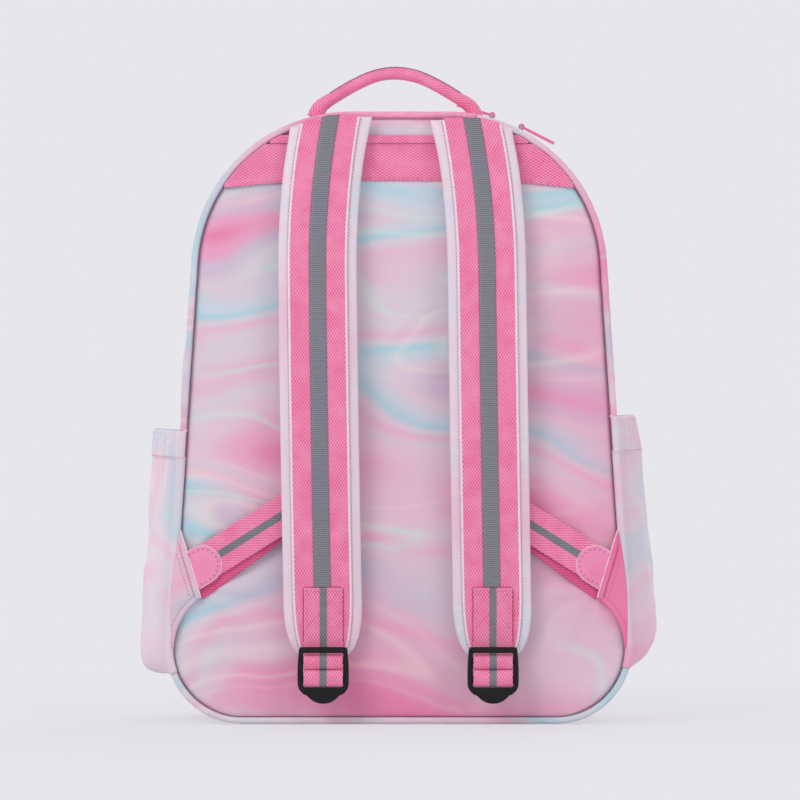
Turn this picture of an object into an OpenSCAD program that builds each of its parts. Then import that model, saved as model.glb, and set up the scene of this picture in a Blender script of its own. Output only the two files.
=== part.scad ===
// School backpack. The back panel faces -Y, the front pocket faces +Y and the base rests on Z = 0.
// A zipped front flap folds forward, the straps swing out at the top seam, the buckles tilt on
// their strap tabs, the zip sliders travel, their pulls swing and the carry handle tips.

/* [Bag body] */
// Height from the floor to the top of the back seam
bag_h = 441; // [400:1:480]
// Width across the back seam near the base
base_w = 336; // [300:1:370]
// Width across the back seam at the shoulders
crown_w = 300; // [270:1:320]
// Corner radius at the shoulders
shoulder_r = 115; // [85:1:125]
// Corner radius at the base
base_r = 55; // [45:1:65]
// Depth from the back panel to the front panel
bag_d = 140; // [125:1:170]
// Thickness of the lined walls
wall_t = 2; // [1.5:0.1:3]
// How far the wall swells past the back seam along the zip
swell = 1; // [0:0.5:4]
// How far the wall draws in beside the back seam
back_inset = 1.5; // [0.5:0.5:4]
// How far the wall draws in at the front seam
front_inset = 12; // [6:1:20]
// How much lower the top of the front panel lies than the zip
front_drop = 20; // [8:1:30]
// Height of the fold that the front flap opens on
fold_z = 236; // [230:1:260]
// Thickness of the front panels
panel_t = 2; // [1.5:0.1:4]
// Radius of the piping in the back and front seams
piping_r = 2.6; // [2:0.1:3.2]
// How far the piping stands out past the panel that it edges
piping_proud = 1; // [0.5:0.1:1.6]

/* [Back panel] */
// Thickness of the printed cover
cover_t = 1.4; // [1:0.1:2]
// Thickness of the foam behind the cover
foam_t = 6; // [4:0.5:10]
// Thickness of the lining
lining_t = 1; // [0.8:0.1:2]
// Height of the webbing yoke across the top
yoke_h = 33; // [25:1:40]
// Distance from the top of the bag down to the yoke
yoke_drop = 17; // [14:1:24]
// Thickness of the yoke
yoke_t = 1.6; // [1.2:0.1:2.4]

/* [Inside] */
// Thickness of the stiff board on the base
board_t = 2; // [1.5:0.5:4]
// Height of the inner sleeve's top edge
sleeve_h = 290; // [240:5:320]
// Thickness of the padded sleeve panel
sleeve_t = 2.5; // [2:0.5:5]
// Depth of the slot between the lining and the sleeve
sleeve_gap = 14; // [10:1:20]
// Height of the binding along the sleeve's top edge
sleeve_band_h = 12; // [8:1:20]

/* [Shoulder straps] */
// Width of the padded strap
strap_w = 57; // [50:1:64]
// Thickness of the padded strap
strap_t = 9; // [6:0.5:12]
// Length of the pad, top seam to lower end
strap_len = 376; // [340:2:390]
// Distance from the top of the bag down to the strap's top end
strap_drop = 4; // [3:1:10]
// Distance of the strap from the middle at the top seam
strap_top_x = 50.5; // [47:0.5:56]
// Distance of the strap from the middle below its spread
strap_low_x = 60.8; // [54:0.2:68]
// Share of the strap's length over which it spreads
strap_spread = 0.3; // [0.2:0.05:1]
// How far both straps hang to the right at the top seam
strap_shift = 1.5; // [0:0.5:5]
// How far both straps hang to the right at the lower end
strap_low_shift = 6.5; // [0:0.5:8]
// Gap between the panel and the strap's lower end
strap_low_gap = 5; // [4:0.5:10]
// How far the strap bows away from the panel
strap_bow = 10; // [7:0.5:16]
// Width of the strap's lower end, where it narrows to the buckle
strap_end_w = 40; // [36:1:48]
// Length over which the lower end narrows
strap_end_l = 34; // [20:1:50]
// Width of the webbing along the strap
web_w = 40; // [34:1:44]
// Thickness of the webbing along the strap
web_t = 1.5; // [1:0.1:2]
// Width of the reflective tape on the webbing
tape_w = 12; // [8:1:16]
// Thickness of the reflective tape
tape_t = 0.6; // [0.4:0.1:1]
// Length of the webbing tab sewn on the strap's lower end
tab_l = 38; // [30:1:50]

/* [Buckles and adjusters] */
// Width of the adjuster webbing
adj_w = 28; // [24:1:32]
// Thickness of the adjuster webbing
adj_t = 1.5; // [1.2:0.1:2]
// Thickness of the buckle frame
buckle_t = 3.6; // [3:0.2:5]
// Width of each side rail of the buckle
rail_w = 4.2; // [3.4:0.2:6]
// Height of the buckle's top rim
rim_h = 4.2; // [3:0.2:5]
// Radius of the two buckle bars
bar_r = 2; // [1.6:0.1:2.2]
// Distance between the two buckle bars
bar_pitch = 12.6; // [11.5:0.2:15]
// Free slot between the top rim and the upper bar, and between the lower bar and the foot
slot_h = 4; // [3.6:0.1:6]
// Height of the buckle's foot, under the lower slot
foot_h = 5.5; // [4:0.5:8]
// Length of the thumb tab under the foot
thumb_l = 6.5; // [4:0.5:9]
// Width of the thumb tab
thumb_w = 26; // [20:1:30]
// Distance from the strap's lower end down to the top of the buckle
buckle_drop = 4.5; // [3:0.5:10]
// Distance of the buckle bars in front of the tab's leaf, which the rim tilts into
tilt_room = 7.5; // [7:0.5:10]
// Angle at which the adjuster rises from the wing to the strap
adj_rise = 32; // [26:1:36]
// Share of the wing's slanted edge, from its top corner, where the adjuster leaves it
adj_share = 0.6; // [0.5:0.02:0.62]
// How far the loose tail shows below the adjuster
tail_shift = 5; // [3:0.5:7]
// Height of the wing's top corner
wing_top_z = 140; // [134:1:148]
// Height of the wing's inner tip
wing_tip_z = 91; // [85:1:98]
// Height of the wing's bottom corner
wing_low_z = 54; // [48:1:62]
// How far the wing's tip reaches in from the seam
wing_reach = 18; // [13:1:24]
// Width of the sewn patch on the adjuster's end
patch_w = 26; // [22:1:30]
// Length of the sewn patch
patch_l = 26; // [22:1:32]
// Thickness of the sewn patch
patch_t = 1.4; // [1:0.1:2]

/* [Side pockets] */
// Height of the side pocket's bottom seam
side_low_z = 42; // [38:1:50]
// Height of the side pocket's mouth
side_top_z = 216; // [190:1:220]
// Height of the gathered hem at the mouth
hem_h = 21; // [14:1:26]
// How far the side pocket bulges out
side_bulge = 18.5; // [14:0.5:28]
// How far the elastic draws the mouth in
mouth_draw = 3; // [0:0.5:6]
// Thickness of the side pocket's cloth
side_t = 1.5; // [1.2:0.1:2.5]
// Thickness of the gathered hem
hem_t = 2.4; // [1.8:0.1:3]
// Width of the side pocket's seam beside the bag's seams
side_seam = 3; // [2:0.5:6]

/* [Front pocket] */
// Width of the front pocket
pocket_w = 252; // [220:2:264]
// Height of the front pocket
pocket_h = 196; // [170:2:200]
// Height of the front pocket's lower edge
pocket_low_z = 22; // [16:1:26]
// Depth of the front pocket
pocket_d = 40; // [30:1:55]
// Corner radius at the bottom of the front pocket
pocket_low_r = 46; // [30:1:60]
// Corner radius at the top of the front pocket
pocket_top_r = 34; // [24:1:45]
// Distance from the pocket's top down to its zip
pocket_zip_drop = 44; // [36:1:60]
// Distance from each end of the pocket zip to the pocket's side
pocket_zip_margin = 16; // [12:1:24]

/* [Zips] */
// Distance of the main zip behind the front panel's face
zip_back = 62; // [50:1:70]
// Half width of the lane that a zip's tapes fill
lane = 9; // [8:0.5:12]
// Width of each half of the zip's teeth
teeth_w = 2.8; // [2.2:0.1:3.4]
// Thickness of the zip's teeth
teeth_t = 2.4; // [2:0.1:3]
// Gap between the two halves of the teeth, where the slider's post runs
teeth_gap = 1.8; // [1.6:0.1:2.2]
// Thickness of the zip's cloth tape
zip_tape_t = 0.8; // [0.6:0.1:1.2]
// Length of a zip slider
slider_l = 13; // [11:0.5:15]
// Width of a zip slider
slider_w = 10.5; // [9:0.5:12]
// Thickness of a zip slider's plates
plate_t = 1.4; // [1:0.1:2]
// Length of a pull, from its pin
pull_l = 27; // [20:1:34]
// Width of a pull
pull_w = 7; // [6:0.5:9]
// Thickness of a pull
pull_t = 1.8; // [1.4:0.1:2.2]
// Angle round the shoulder where the upper main slider is parked
upper_park = 74; // [70:1:78]
// Angle between the two parked main sliders
park_step = 11; // [10.5:0.5:14]

/* [Carry handle] */
// Distance between the handle's two feet
handle_w = 114; // [100:1:126]
// Rise of the handle's middle above its feet
handle_rise = 25; // [18:1:34]
// Radius of the rolled handle
handle_r = 4.7; // [4:0.1:6]
// How much the handle's feet swell past the roll
foot_swell = 0.9; // [0.5:0.1:1.6]
// Distance of the handle from the back panel's face
handle_in = 16; // [13:1:22]

/* [Hidden] */

$fn = 48;

// Clearances
fit = 0.2;
gap = 0.3;
slider_gap = 0.6;
pin_gap = 0.25;

// Counts of facets along the curves
arc_steps = 14;
bulge_steps = 12;
tube_sides = 8;

// Colours
print_pink = "#eeb6d0";
print_pale = "#ead9e6";
webbing_pink = "#f2699f";
leather_pink = "#ee8ebb";
tape_grey = "#7d7e88";
buckle_black = "#232326";
zip_pink = "#f08cb6";
lining_pink = "#f3c4d8";
foam_white = "#f4f1ee";
board_grey = "#b9b4bb";
metal_grey = "#a8a9ad";

// Faces of the bag
back_y = -bag_d / 2;
front_y = bag_d / 2;
zip_y = front_y - zip_back;
seam_in = 2 * piping_r + fit;
seam_depth = 2 * piping_r - piping_proud + fit;
wall_back_y = back_y + seam_depth;
wall_front_y = front_y - seam_depth;
lining_y = back_y + cover_t + foam_t + lining_t;
sleeve_y = lining_y + sleeve_gap;

// Outline of the bag: four corner arcs and two leaning sides
top_c = [crown_w / 2 - shoulder_r, bag_h - shoulder_r];
low_c = [base_w / 2 - base_r, base_r];
span = low_c - top_c;
lean = atan2(span.y, span.x) + acos((shoulder_r - base_r) / norm(span));
side_dir = [cos(lean), sin(lean)];
side_hi = top_c + shoulder_r * side_dir;
side_lo = low_c + base_r * side_dir;

// A station is [centre x, centre z, radius, angle of the outward normal, share of the front drop]
function on_arc(c, r, a, share) = [c.x, c.y, r, a, share];

function on_side(z) =
    let (k = (z - side_lo.y) / (side_hi.y - side_lo.y))
    let (share = max(0, min(1, (z - fold_z) / (side_hi.y - fold_z))))
    [side_lo.x + k * (side_hi.x - side_lo.x), z, 0, lean, share];

function at_height(z) =
    z < side_lo.y ? on_arc(low_c, base_r, asin((z - low_c.y) / base_r), 0) : on_side(z);

function mirrored(stations) = [
    for (i = [len(stations) - 1:-1:0])
        let (s = stations[i])
        [-s[0], s[1], s[2], 180 - s[3], s[4]]
];

shoulder_stations = [
    for (i = [0:arc_steps]) on_arc(top_c, shoulder_r, 90 + (lean - 90) * i / arc_steps, 1)
];
base_stations = [
    for (i = [0:arc_steps]) on_arc(low_c, base_r, lean - (90 + lean) * i / arc_steps, 0)
];
upper_right = concat(
    shoulder_stations, [for (k = [0.66, 0.33, 0]) on_side(fold_z + fit + k * (side_hi.y - fold_z))]
);
lower_right = concat(
    [for (k = [1, 0.5]) on_side(side_lo.y + k * (fold_z - fit - side_lo.y))], base_stations
);
arch = concat(mirrored(upper_right), upper_right);
lower_loop = concat(lower_right, mirrored(lower_right));
whole_loop = concat(arch, lower_loop);

// How far the wall's outer face lies outside the back seam, and how far its top drops, at a depth
function rear_share(y) = max(0, min(1, (y - wall_back_y) / (zip_y - lane - wall_back_y)));
function front_share(y) = max(0, min(1, (y - zip_y - lane) / (wall_front_y - zip_y - lane)));
function wall_out(y) =
    (swell + back_inset) * sin(90 * rear_share(y)) - back_inset
    - (swell + front_inset) * (1 - cos(90 * front_share(y)));
function wall_drop(y) = front_drop * (1 - cos(90 * front_share(y)));

// The base stays flat, so the swell fades out round the bottom corners
function side_weight(s) = sin(s[3]) >= 0 ? 1 : abs(cos(s[3]));

function wall_point(s, y, inset) =
    let (r = s[2] + wall_out(y) * side_weight(s) - inset)
    [s[0] + r * cos(s[3]), y, s[1] + r * sin(s[3]) - wall_drop(y) * s[4]];

function outline_at(stations, y, inset) = [
    for (s = stations)
        let (p = wall_point(s, y, inset))
        [p.x, p.z]
];
function back_outline(inset) = [
    for (s = whole_loop) [s[0] + (s[2] - inset) * cos(s[3]), s[1] + (s[2] - inset) * sin(s[3])]
];

function steps(a, b, n) = [for (i = [0:n]) a + (b - a) * i / n];

rear_ys = steps(wall_back_y, zip_y - lane - fit, 4);
front_ys = steps(zip_y + lane + fit, wall_front_y, 6);

// General shapes

// A closed sheet between an outer and an inner grid of points, rows along the first index
module sheet(outer, inner) {
    rows = len(outer);
    cols = len(outer[0]);
    count = rows * cols;
    points = concat([for (row = outer) each row], [for (row = inner) each row]);
    skins = [
        for (i = [0:rows - 2])
            for (j = [0:cols - 2])
                let (a = i * cols + j, b = a + cols, c = b + 1, d = a + 1)
                each [
                    [a, d, c], [a, c, b],
                    [count + a, count + c, count + d], [count + a, count + b, count + c]
                ]
    ];
    row_ends = [
        for (j = [0:cols - 2])
            let (a = j, b = j + 1, c = count - cols + j, d = c + 1)
            each [
                [a, count + b, b], [a, count + a, count + b],
                [c, d, count + d], [c, count + d, count + c]
            ]
    ];
    col_ends = [
        for (i = [0:rows - 2])
            let (a = i * cols, b = a + cols, c = a + cols - 1, d = b + cols - 1)
            each [
                [a, b, count + b], [a, count + b, count + a],
                [c, count + d, d], [c, count + c, count + d]
            ]
    ];
    polyhedron(points, concat(skins, row_ends, col_ends), convexity = 8);
}

// A solid through a list of rings, capped at its ends or joined into a loop
module loft(rings, looped = false) {
    sides = len(rings[0]);
    count = len(rings);
    walls = [
        for (i = [0:count - (looped ? 1 : 2)])
            for (k = [0:sides - 1])
                let (next = (k + 1) % sides, row = i * sides, ahead = ((i + 1) % count) * sides)
                each [[row + k, ahead + k, ahead + next], [row + k, ahead + next, row + next]]
    ];
    last = (count - 1) * sides;
    caps = [for (k = [1:sides - 2]) each [[0, k, k + 1], [last, last + k + 1, last + k]]];
    polyhedron([for (ring = rings) each ring], looped ? walls : concat(walls, caps), convexity = 8);
}

// A flat piece of an outline in X and Z, from depth y over a thickness
module slab(y, t) {
    translate([0, y + t, 0]) rotate([90, 0, 0]) linear_extrude(t) children();
}

// A flat piece of a profile in Y and Z, centred on x over a width
module ribbon(x, w) {
    translate([x, 0, 0]) rotate([90, 0, 90]) linear_extrude(w, center = true) children();
}

// A strip of the bag's wall along a run of stations
module wall_strip(stations, ys, t, inset = 0) {
    sheet(
        [for (s = stations) [for (y = ys) wall_point(s, y, inset)]],
        [for (s = stations) [for (y = ys) wall_point(s, y, inset + t)]]
    );
}

// Piping along a run of stations, against the seam at depth seam_y
function piping_rings(stations, seam_y, y) = [
    for (s = stations)
        let (p = wall_point(s, seam_y, piping_r))
        [
            for (k = [0:tube_sides - 1])
                let (a = 360 * k / tube_sides)
                [
                    p.x + piping_r * sin(a) * cos(s[3]),
                    y + piping_r * cos(a),
                    p.z + piping_r * sin(a) * sin(s[3])
                ]
        ]
];

module left_copy() {
    mirror([1, 0, 0]) children();
}

// A straight bar of cloth in a profile, square ended
module cloth_line(p, q, t) {
    d = (q - p) / norm(q - p);
    n = [-d.y, d.x] * t / 2;
    polygon([p + n, p - n, q - n, q + n]);
}

// Back panel

module back_panel() {
    color(print_pink) slab(back_y, cover_t) polygon(back_outline(seam_in));
}

module back_foam() {
    color(foam_white) slab(back_y + cover_t, foam_t) polygon(back_outline(seam_in));
}

module back_lining() {
    color(lining_pink) slab(back_y + cover_t + foam_t, lining_t) polygon(back_outline(seam_in));
}

// The back piping follows the plain outline, so it lies outside the wall's own draw-in
module back_piping() {
    y = back_y - piping_proud + piping_r;
    color(print_pale) loft(
        [
            for (s = whole_loop) [
                for (k = [0:tube_sides - 1])
                    let (a = 360 * k / tube_sides, r = s[2] - piping_r + piping_r * sin(a))
                    [s[0] + r * cos(s[3]), y + piping_r * cos(a), s[1] + r * sin(s[3])]
            ]
        ],
        true
    );
}

module yoke_band() {
    color(webbing_pink) slab(back_y - yoke_t, yoke_t) intersection() {
        polygon(back_outline(seam_in + fit));
        translate([-crown_w, bag_h - yoke_drop - yoke_h]) square([2 * crown_w, yoke_h]);
    }
}

// Walls and base

module base_panel() {
    w = 2 * (low_c.x - fit);
    color(print_pink)
        translate([-w / 2, wall_back_y, 0]) cube([w, wall_front_y - wall_back_y, wall_t]);
}

module base_board() {
    w = 2 * (low_c.x - fit);
    y = lining_y + gap;
    color(board_grey)
        translate([-w / 2, y, wall_t + fit]) cube([w, wall_front_y - gap - y, board_t]);
}

module side_gusset_right() {
    color(print_pink) wall_strip(lower_right, concat(rear_ys, front_ys), wall_t);
}

module side_gusset_left() {
    color(print_pink) wall_strip(mirrored(lower_right), concat(rear_ys, front_ys), wall_t);
}

module rear_gusset() {
    color(print_pink) wall_strip(arch, rear_ys, wall_t);
}

// Main zip: the tapes lie under the wall's face and the teeth stand a little proud of it

teeth_in = teeth_gap / 2;
teeth_out = teeth_in + teeth_w;
teeth_proud = 0.3;
tape_inset = (teeth_t - zip_tape_t) / 2 - teeth_proud;

module main_zip_tape_rear() {
    color(zip_pink)
        wall_strip(arch, [zip_y - lane, zip_y - teeth_out - fit], zip_tape_t, tape_inset);
}

module main_zip_teeth_rear() {
    color(webbing_pink)
        wall_strip(arch, [zip_y - teeth_out, zip_y - teeth_in], teeth_t, -teeth_proud);
}

end_tab_h = 12;
end_tab_t = 1.2;

module main_zip_end_tab() {
    z = fold_z - gap - end_tab_h / 2;
    translate(wall_point(on_side(z), zip_y, -fit)) rotate([0, -lean, 0])
        translate([0, -lane, -end_tab_h / 2]) cube([end_tab_t, 2 * lane, end_tab_h]);
}

module main_zip_end_tabs() {
    color(webbing_pink) {
        main_zip_end_tab();
        left_copy() main_zip_end_tab();
    }
}

// Lower front and the front pocket

module front_lower_panel() {
    color(print_pink)
        slab(front_y - panel_t, panel_t) polygon(outline_at(lower_loop, wall_front_y, seam_in));
}

front_piping_y = front_y + piping_proud - piping_r;

module front_piping_lower() {
    color(print_pale) loft(piping_rings(lower_loop, wall_front_y, front_piping_y));
}

function corner(x, z, r, from) = [
    for (i = [0:arc_steps])
        let (a = from - 90 * i / arc_steps)
        [x + r * cos(a), z + r * sin(a)]
];

// Outline of the front pocket, drawn in by an inset
function pocket_outline(inset) =
    let (x = pocket_w / 2, top = pocket_low_z + pocket_h, low = pocket_low_z)
    let (tr = pocket_top_r, lr = pocket_low_r)
    concat(
        corner(x - tr, top - tr, tr - inset, 90),
        corner(x - lr, low + lr, lr - inset, 0),
        corner(lr - x, low + lr, lr - inset, -90),
        corner(tr - x, top - tr, tr - inset, 180)
    );

pocket_face_y = front_y + pocket_d;
pocket_zip_z = pocket_low_z + pocket_h - pocket_zip_drop;
pocket_zip_l = pocket_w - 2 * pocket_zip_margin;

module front_pocket_gusset() {
    color(print_pink) slab(front_y, pocket_d - panel_t) difference() {
        polygon(pocket_outline(0));
        polygon(pocket_outline(wall_t));
    }
}

module front_pocket_face() {
    color(print_pink) slab(pocket_face_y - panel_t, panel_t) difference() {
        polygon(pocket_outline(0));
        translate([-pocket_zip_l / 2, pocket_zip_z - lane]) square([pocket_zip_l, 2 * lane]);
    }
}

module pocket_zip_halves(inner, outer, y, t) {
    for (z = [pocket_zip_z + inner, pocket_zip_z - outer])
        translate([fit - pocket_zip_l / 2, y - t, z])
            cube([pocket_zip_l - 2 * fit, t, outer - inner]);
}

module front_pocket_zip_tapes() {
    color(zip_pink)
        pocket_zip_halves(teeth_out + fit, lane - fit, pocket_face_y - tape_inset, zip_tape_t);
}

module front_pocket_zip_teeth() {
    color(webbing_pink)
        pocket_zip_halves(teeth_in, teeth_out, pocket_face_y + teeth_proud, teeth_t);
}

// Side pockets: a bulged sheet on the side wall, open at its mouth

side_ys = steps(wall_back_y + side_seam, wall_front_y - side_seam, bulge_steps);
hem_low_z = side_top_z - hem_h;
// Share of the pocket's height in which its bottom rounds out to the full bulge
round_share = 0.06;
// Powers that square off the pocket's bulge across its depth and at its bottom
depth_power = 0.7;
bottom_power = 0.6;

function side_share(z) = (z - side_low_z) / (side_top_z - side_low_z);
function side_out(z, y) =
    let (v = (y - side_ys[0]) / (side_ys[bulge_steps] - side_ys[0]))
    let (full = side_bulge - mouth_draw * pow(side_share(z), 4))
    full * pow(max(0, sin(180 * v)), depth_power)
    * pow(sin(90 * min(1, side_share(z) / round_share)), bottom_power);

// The inner face starts one thickness higher at the bottom seam, so that the seam has its thickness
function seam_lift(z, t) = t * max(0, 1 - side_share(z) / round_share);

module side_sheet(heights, t) {
    sheet(
        [
            for (z = heights)
                [for (y = side_ys) wall_point(at_height(z), y, -gap - t - side_out(z, y))]
        ],
        [
            for (z = heights)
                [for (y = side_ys) wall_point(at_height(z + seam_lift(z, t)), y, -gap - side_out(z, y))]
        ]
    );
}

side_heights = [
    for (k = [1, 0.9, 0.8, 0.6, 0.4, 0.2, 0.1, 0.07, 0.045, 0.025, 0.01, 0.003, 0])
        side_low_z + k * (hem_low_z - fit - side_low_z)
];
hem_heights = [side_top_z, hem_low_z + hem_h / 2, hem_low_z];

module side_pocket_right() {
    color(print_pink) side_sheet(side_heights, side_t);
}

module side_pocket_left() {
    left_copy() side_pocket_right();
}

module side_pocket_hem_right() {
    color(print_pale) side_sheet(hem_heights, hem_t);
}

module side_pocket_hem_left() {
    left_copy() side_pocket_hem_right();
}

// Wings and adjusters on the lower back panel, drawn for the right side

function panel_edge(z) =
    let (p = wall_point(at_height(z), back_y, 0))
    [p.x + back_inset - seam_in - fit, z];

wing_top = panel_edge(wing_top_z);
wing_tip = panel_edge(wing_tip_z) - [wing_reach, 0];
wing_low = panel_edge(wing_low_z);
wing_edge = (wing_tip - wing_top) / norm(wing_tip - wing_top);
wing_t = 2 * adj_t + fit;
adj_dir = [-cos(adj_rise), sin(adj_rise)];
adj_side = [sin(adj_rise), cos(adj_rise)];
adj_start = wing_top + (wing_tip - wing_top) * adj_share;
adj_l = (adj_start.x - strap_low_x) / cos(adj_rise);

function cross_at(p, d, q, e) =
    let (r = q - p)
    p + d * (r.x * e.y - r.y * e.x) / (d.x * e.y - d.y * e.x);

// Outline of a band that leaves the wing's edge and ends behind the strap, moved sideways by shift
function band(shift) =
    let (edge = adj_start + adj_dir * gap)
    let (high = adj_start + adj_side * (adj_w / 2 + shift))
    let (low = adj_start + adj_side * (shift - adj_w / 2))
    [
        cross_at(high, adj_dir, edge, wing_edge), cross_at(low, adj_dir, edge, wing_edge),
        low + adj_dir * adj_l, high + adj_dir * adj_l
    ];

module wing_right() {
    color(print_pale) slab(back_y - wing_t, wing_t) polygon([wing_top, wing_tip, wing_low]);
}

module wing_left() {
    left_copy() wing_right();
}

module adjuster_tail_right() {
    color(webbing_pink) slab(back_y - adj_t, adj_t) polygon(band(-tail_shift));
}

module adjuster_tail_left() {
    left_copy() adjuster_tail_right();
}

module adjuster_right() {
    color(webbing_pink) slab(back_y - wing_t, adj_t) polygon(band(0));
}

module adjuster_left() {
    left_copy() adjuster_right();
}

patch_overlap = 5;

module patch_right() {
    r = patch_w / 2;
    color(leather_pink) slab(back_y - wing_t - fit - patch_t, patch_t)
        translate(adj_start) rotate(180 - adj_rise) translate([-patch_overlap, 0]) {
            translate([0, -r]) square([patch_l - r, patch_w]);
            translate([patch_l - r, 0]) circle(r);
        }
}

module patch_left() {
    left_copy() patch_right();
}

// Inside

module inner_sleeve() {
    floor_z = wall_t + board_t + 2 * fit;
    color(lining_pink) slab(sleeve_y, sleeve_t) intersection() {
        polygon(outline_at(whole_loop, sleeve_y, wall_t + gap));
        translate([-base_w, floor_z]) square([2 * base_w, sleeve_h - sleeve_band_h - fit - floor_z]);
    }
}

module sleeve_binding() {
    color(webbing_pink) slab(sleeve_y, sleeve_t) intersection() {
        polygon(outline_at(whole_loop, sleeve_y, wall_t + gap));
        translate([-base_w, sleeve_h - sleeve_band_h]) square([2 * base_w, sleeve_band_h]);
    }
}

// Front flap

module flap_panel() {
    color(print_pink)
        slab(front_y - panel_t, panel_t) polygon(outline_at(arch, wall_front_y, seam_in));
}

module flap_gusset() {
    color(print_pink) wall_strip(arch, front_ys, wall_t);
}

module main_zip_tape_front() {
    color(zip_pink)
        wall_strip(arch, [zip_y + teeth_out + fit, zip_y + lane], zip_tape_t, tape_inset);
}

module main_zip_teeth_front() {
    color(webbing_pink)
        wall_strip(arch, [zip_y + teeth_in, zip_y + teeth_out], teeth_t, -teeth_proud);
}

module front_piping_upper() {
    color(print_pale) loft(piping_rings(arch, wall_front_y, front_piping_y));
}

// Shoulder straps: every layer follows one curve from the top seam to the buckle

strap_top_z = bag_h - strap_drop;
strap_top_gap = yoke_t + gap;
strap_end_z = strap_top_z - strap_len;
end_share = strap_end_l / strap_len;

lean_power = 1.5;

function strap_x(side, t) =
    let (spread = 1 - pow(1 - min(1, t / strap_spread), 2))
    side * (strap_top_x + (strap_low_x - strap_top_x) * spread)
    + strap_shift + (strap_low_shift - strap_shift) * pow(t, lean_power);
function strap_gap(t) = strap_top_gap + (strap_low_gap - strap_top_gap) * t + strap_bow * sin(180 * t);
function strap_centre(t) = [back_y - strap_gap(t) - strap_t / 2, strap_top_z - strap_len * t];
function strap_normal(t) =
    let (d = strap_centre(t + 0.001) - strap_centre(t - 0.001))
    let (u = d / norm(d))
    [u.y, -u.x];
function narrow(w, end_w, t) =
    t <= 1 - end_share ? w
    : end_w + (w - end_w) * sqrt(max(0, 1 - pow((t - 1 + end_share) / end_share, 2)));
function strap_place(side, t, across, out) =
    let (c = strap_centre(t), n = strap_normal(t))
    [strap_x(side, t) + across, c.x + n.x * out, c.y + n.y * out];

strap_shares = concat(
    steps(0, 1 - end_share, 18), [for (k = [0.3, 0.55, 0.75, 0.9, 1]) 1 - end_share * (1 - k)]
);

// A flat layer on the strap, between two distances from its middle surface
module strap_layer(side, shares, w, end_w, low, high) {
    loft([
        for (t = shares)
            let (h = narrow(w, end_w, t) / 2)
            [
                strap_place(side, t, -h, low), strap_place(side, t, h, low),
                strap_place(side, t, h, high), strap_place(side, t, -h, high)
            ]
    ]);
}

pad_edge = 5;
pad_edge_share = 0.5;

module strap_pad(side) {
    color(print_pale) loft([
        for (t = strap_shares)
            let (h = narrow(strap_w, strap_end_w, t) / 2, e = h - pad_edge)
            let (full = strap_t / 2, thin = full * pad_edge_share)
            [
                strap_place(side, t, -e, -full), strap_place(side, t, e, -full),
                strap_place(side, t, h, -thin), strap_place(side, t, h, thin),
                strap_place(side, t, e, full), strap_place(side, t, -e, full),
                strap_place(side, t, -h, thin), strap_place(side, t, -h, -thin)
            ]
    ]);
}

web_low = strap_t / 2 + fit;
web_high = web_low + web_t;
tape_low = web_high + fit;
tab_share = 1 - tab_l / strap_len;
web_end_w = adj_w + 2;

module strap_webbing(side) {
    color(webbing_pink) strap_layer(side, strap_shares, web_w, web_end_w, web_low, web_high);
}

module strap_tape(side) {
    shares = steps(0, tab_share - gap / strap_len, 18);
    color(tape_grey) strap_layer(side, shares, tape_w, tape_w, tape_low, tape_low + tape_t);
}

// The upper buckle bar lies in front of the tab's leaf by the room that the rim needs to tilt
loop_r = bar_r + pin_gap + adj_t / 2;
leaf_y = strap_place(1, 1, 0, tape_low + adj_t / 2).y;
leaf_back_y = leaf_y + adj_t + fit;
bar_y = leaf_y - tilt_room;
buckle_top_z = strap_end_z - buckle_drop;
window_top_z = buckle_top_z - rim_h;
upper_bar_z = window_top_z - slot_h - bar_r;
lower_bar_z = upper_bar_z - bar_pitch;
window_low_z = lower_bar_z - bar_r - slot_h;
foot_z = window_low_z - foot_h;

function buckle_x(side) = strap_x(side, 1);

// The front half of a webbing loop round a bar
module loop_profile(z) {
    translate([bar_y, z]) difference() {
        circle(loop_r + adj_t / 2);
        circle(loop_r - adj_t / 2);
        translate([0, -2 * loop_r]) square([2 * loop_r, 4 * loop_r]);
    }
}

module strap_tab(side) {
    from = strap_place(side, tab_share, 0, tape_low + adj_t / 2);
    to = strap_place(side, 1, 0, tape_low + adj_t / 2);
    start = [from.y, from.z];
    hem = [to.y, to.z];
    high = upper_bar_z + loop_r;
    low = upper_bar_z - loop_r;
    color(webbing_pink) ribbon(buckle_x(side), adj_w) {
        cloth_line(start, hem, adj_t);
        cloth_line(hem + [0, adj_t / 2], [leaf_y, high - adj_t / 2], adj_t);
        cloth_line([leaf_y, high], [bar_y, high], adj_t);
        loop_profile(upper_bar_z);
        cloth_line([bar_y, low], [leaf_back_y + adj_t / 2, low], adj_t);
        cloth_line([leaf_back_y, low], [leaf_back_y, strap_end_z - gap - fit], adj_t);
    }
}

// The adjuster's upright run, against the inner face of the strap
module adjuster_run(side) {
    fold_share = (strap_top_z - adj_start.y - adj_l * sin(adj_rise)) / strap_len;
    shares = steps(fold_share, 1, 8);
    low = -strap_t / 2 - fit;
    color(webbing_pink) strap_layer(side, shares, adj_w, adj_w, low - adj_t, low);
}

module strap_pad_left() strap_pad(-1);
module strap_pad_right() strap_pad(1);
module strap_webbing_left() strap_webbing(-1);
module strap_webbing_right() strap_webbing(1);
module strap_tape_left() strap_tape(-1);
module strap_tape_right() strap_tape(1);
module strap_tab_left() strap_tab(-1);
module strap_tab_right() strap_tab(1);
module adjuster_run_left() adjuster_run(-1);
module adjuster_run_right() adjuster_run(1);

// Buckles

buckle_w = adj_w + 2 * gap + 2 * rail_w;
corner_r = 2.5;

module rounded_rect(w, h, r) {
    translate([r, 0]) square([w - 2 * r, h]);
    translate([0, r]) square([w, h - 2 * r]);
    for (x = [r, w - r])
        for (z = [r, h - r])
            translate([x, z]) circle(r);
}

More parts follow.
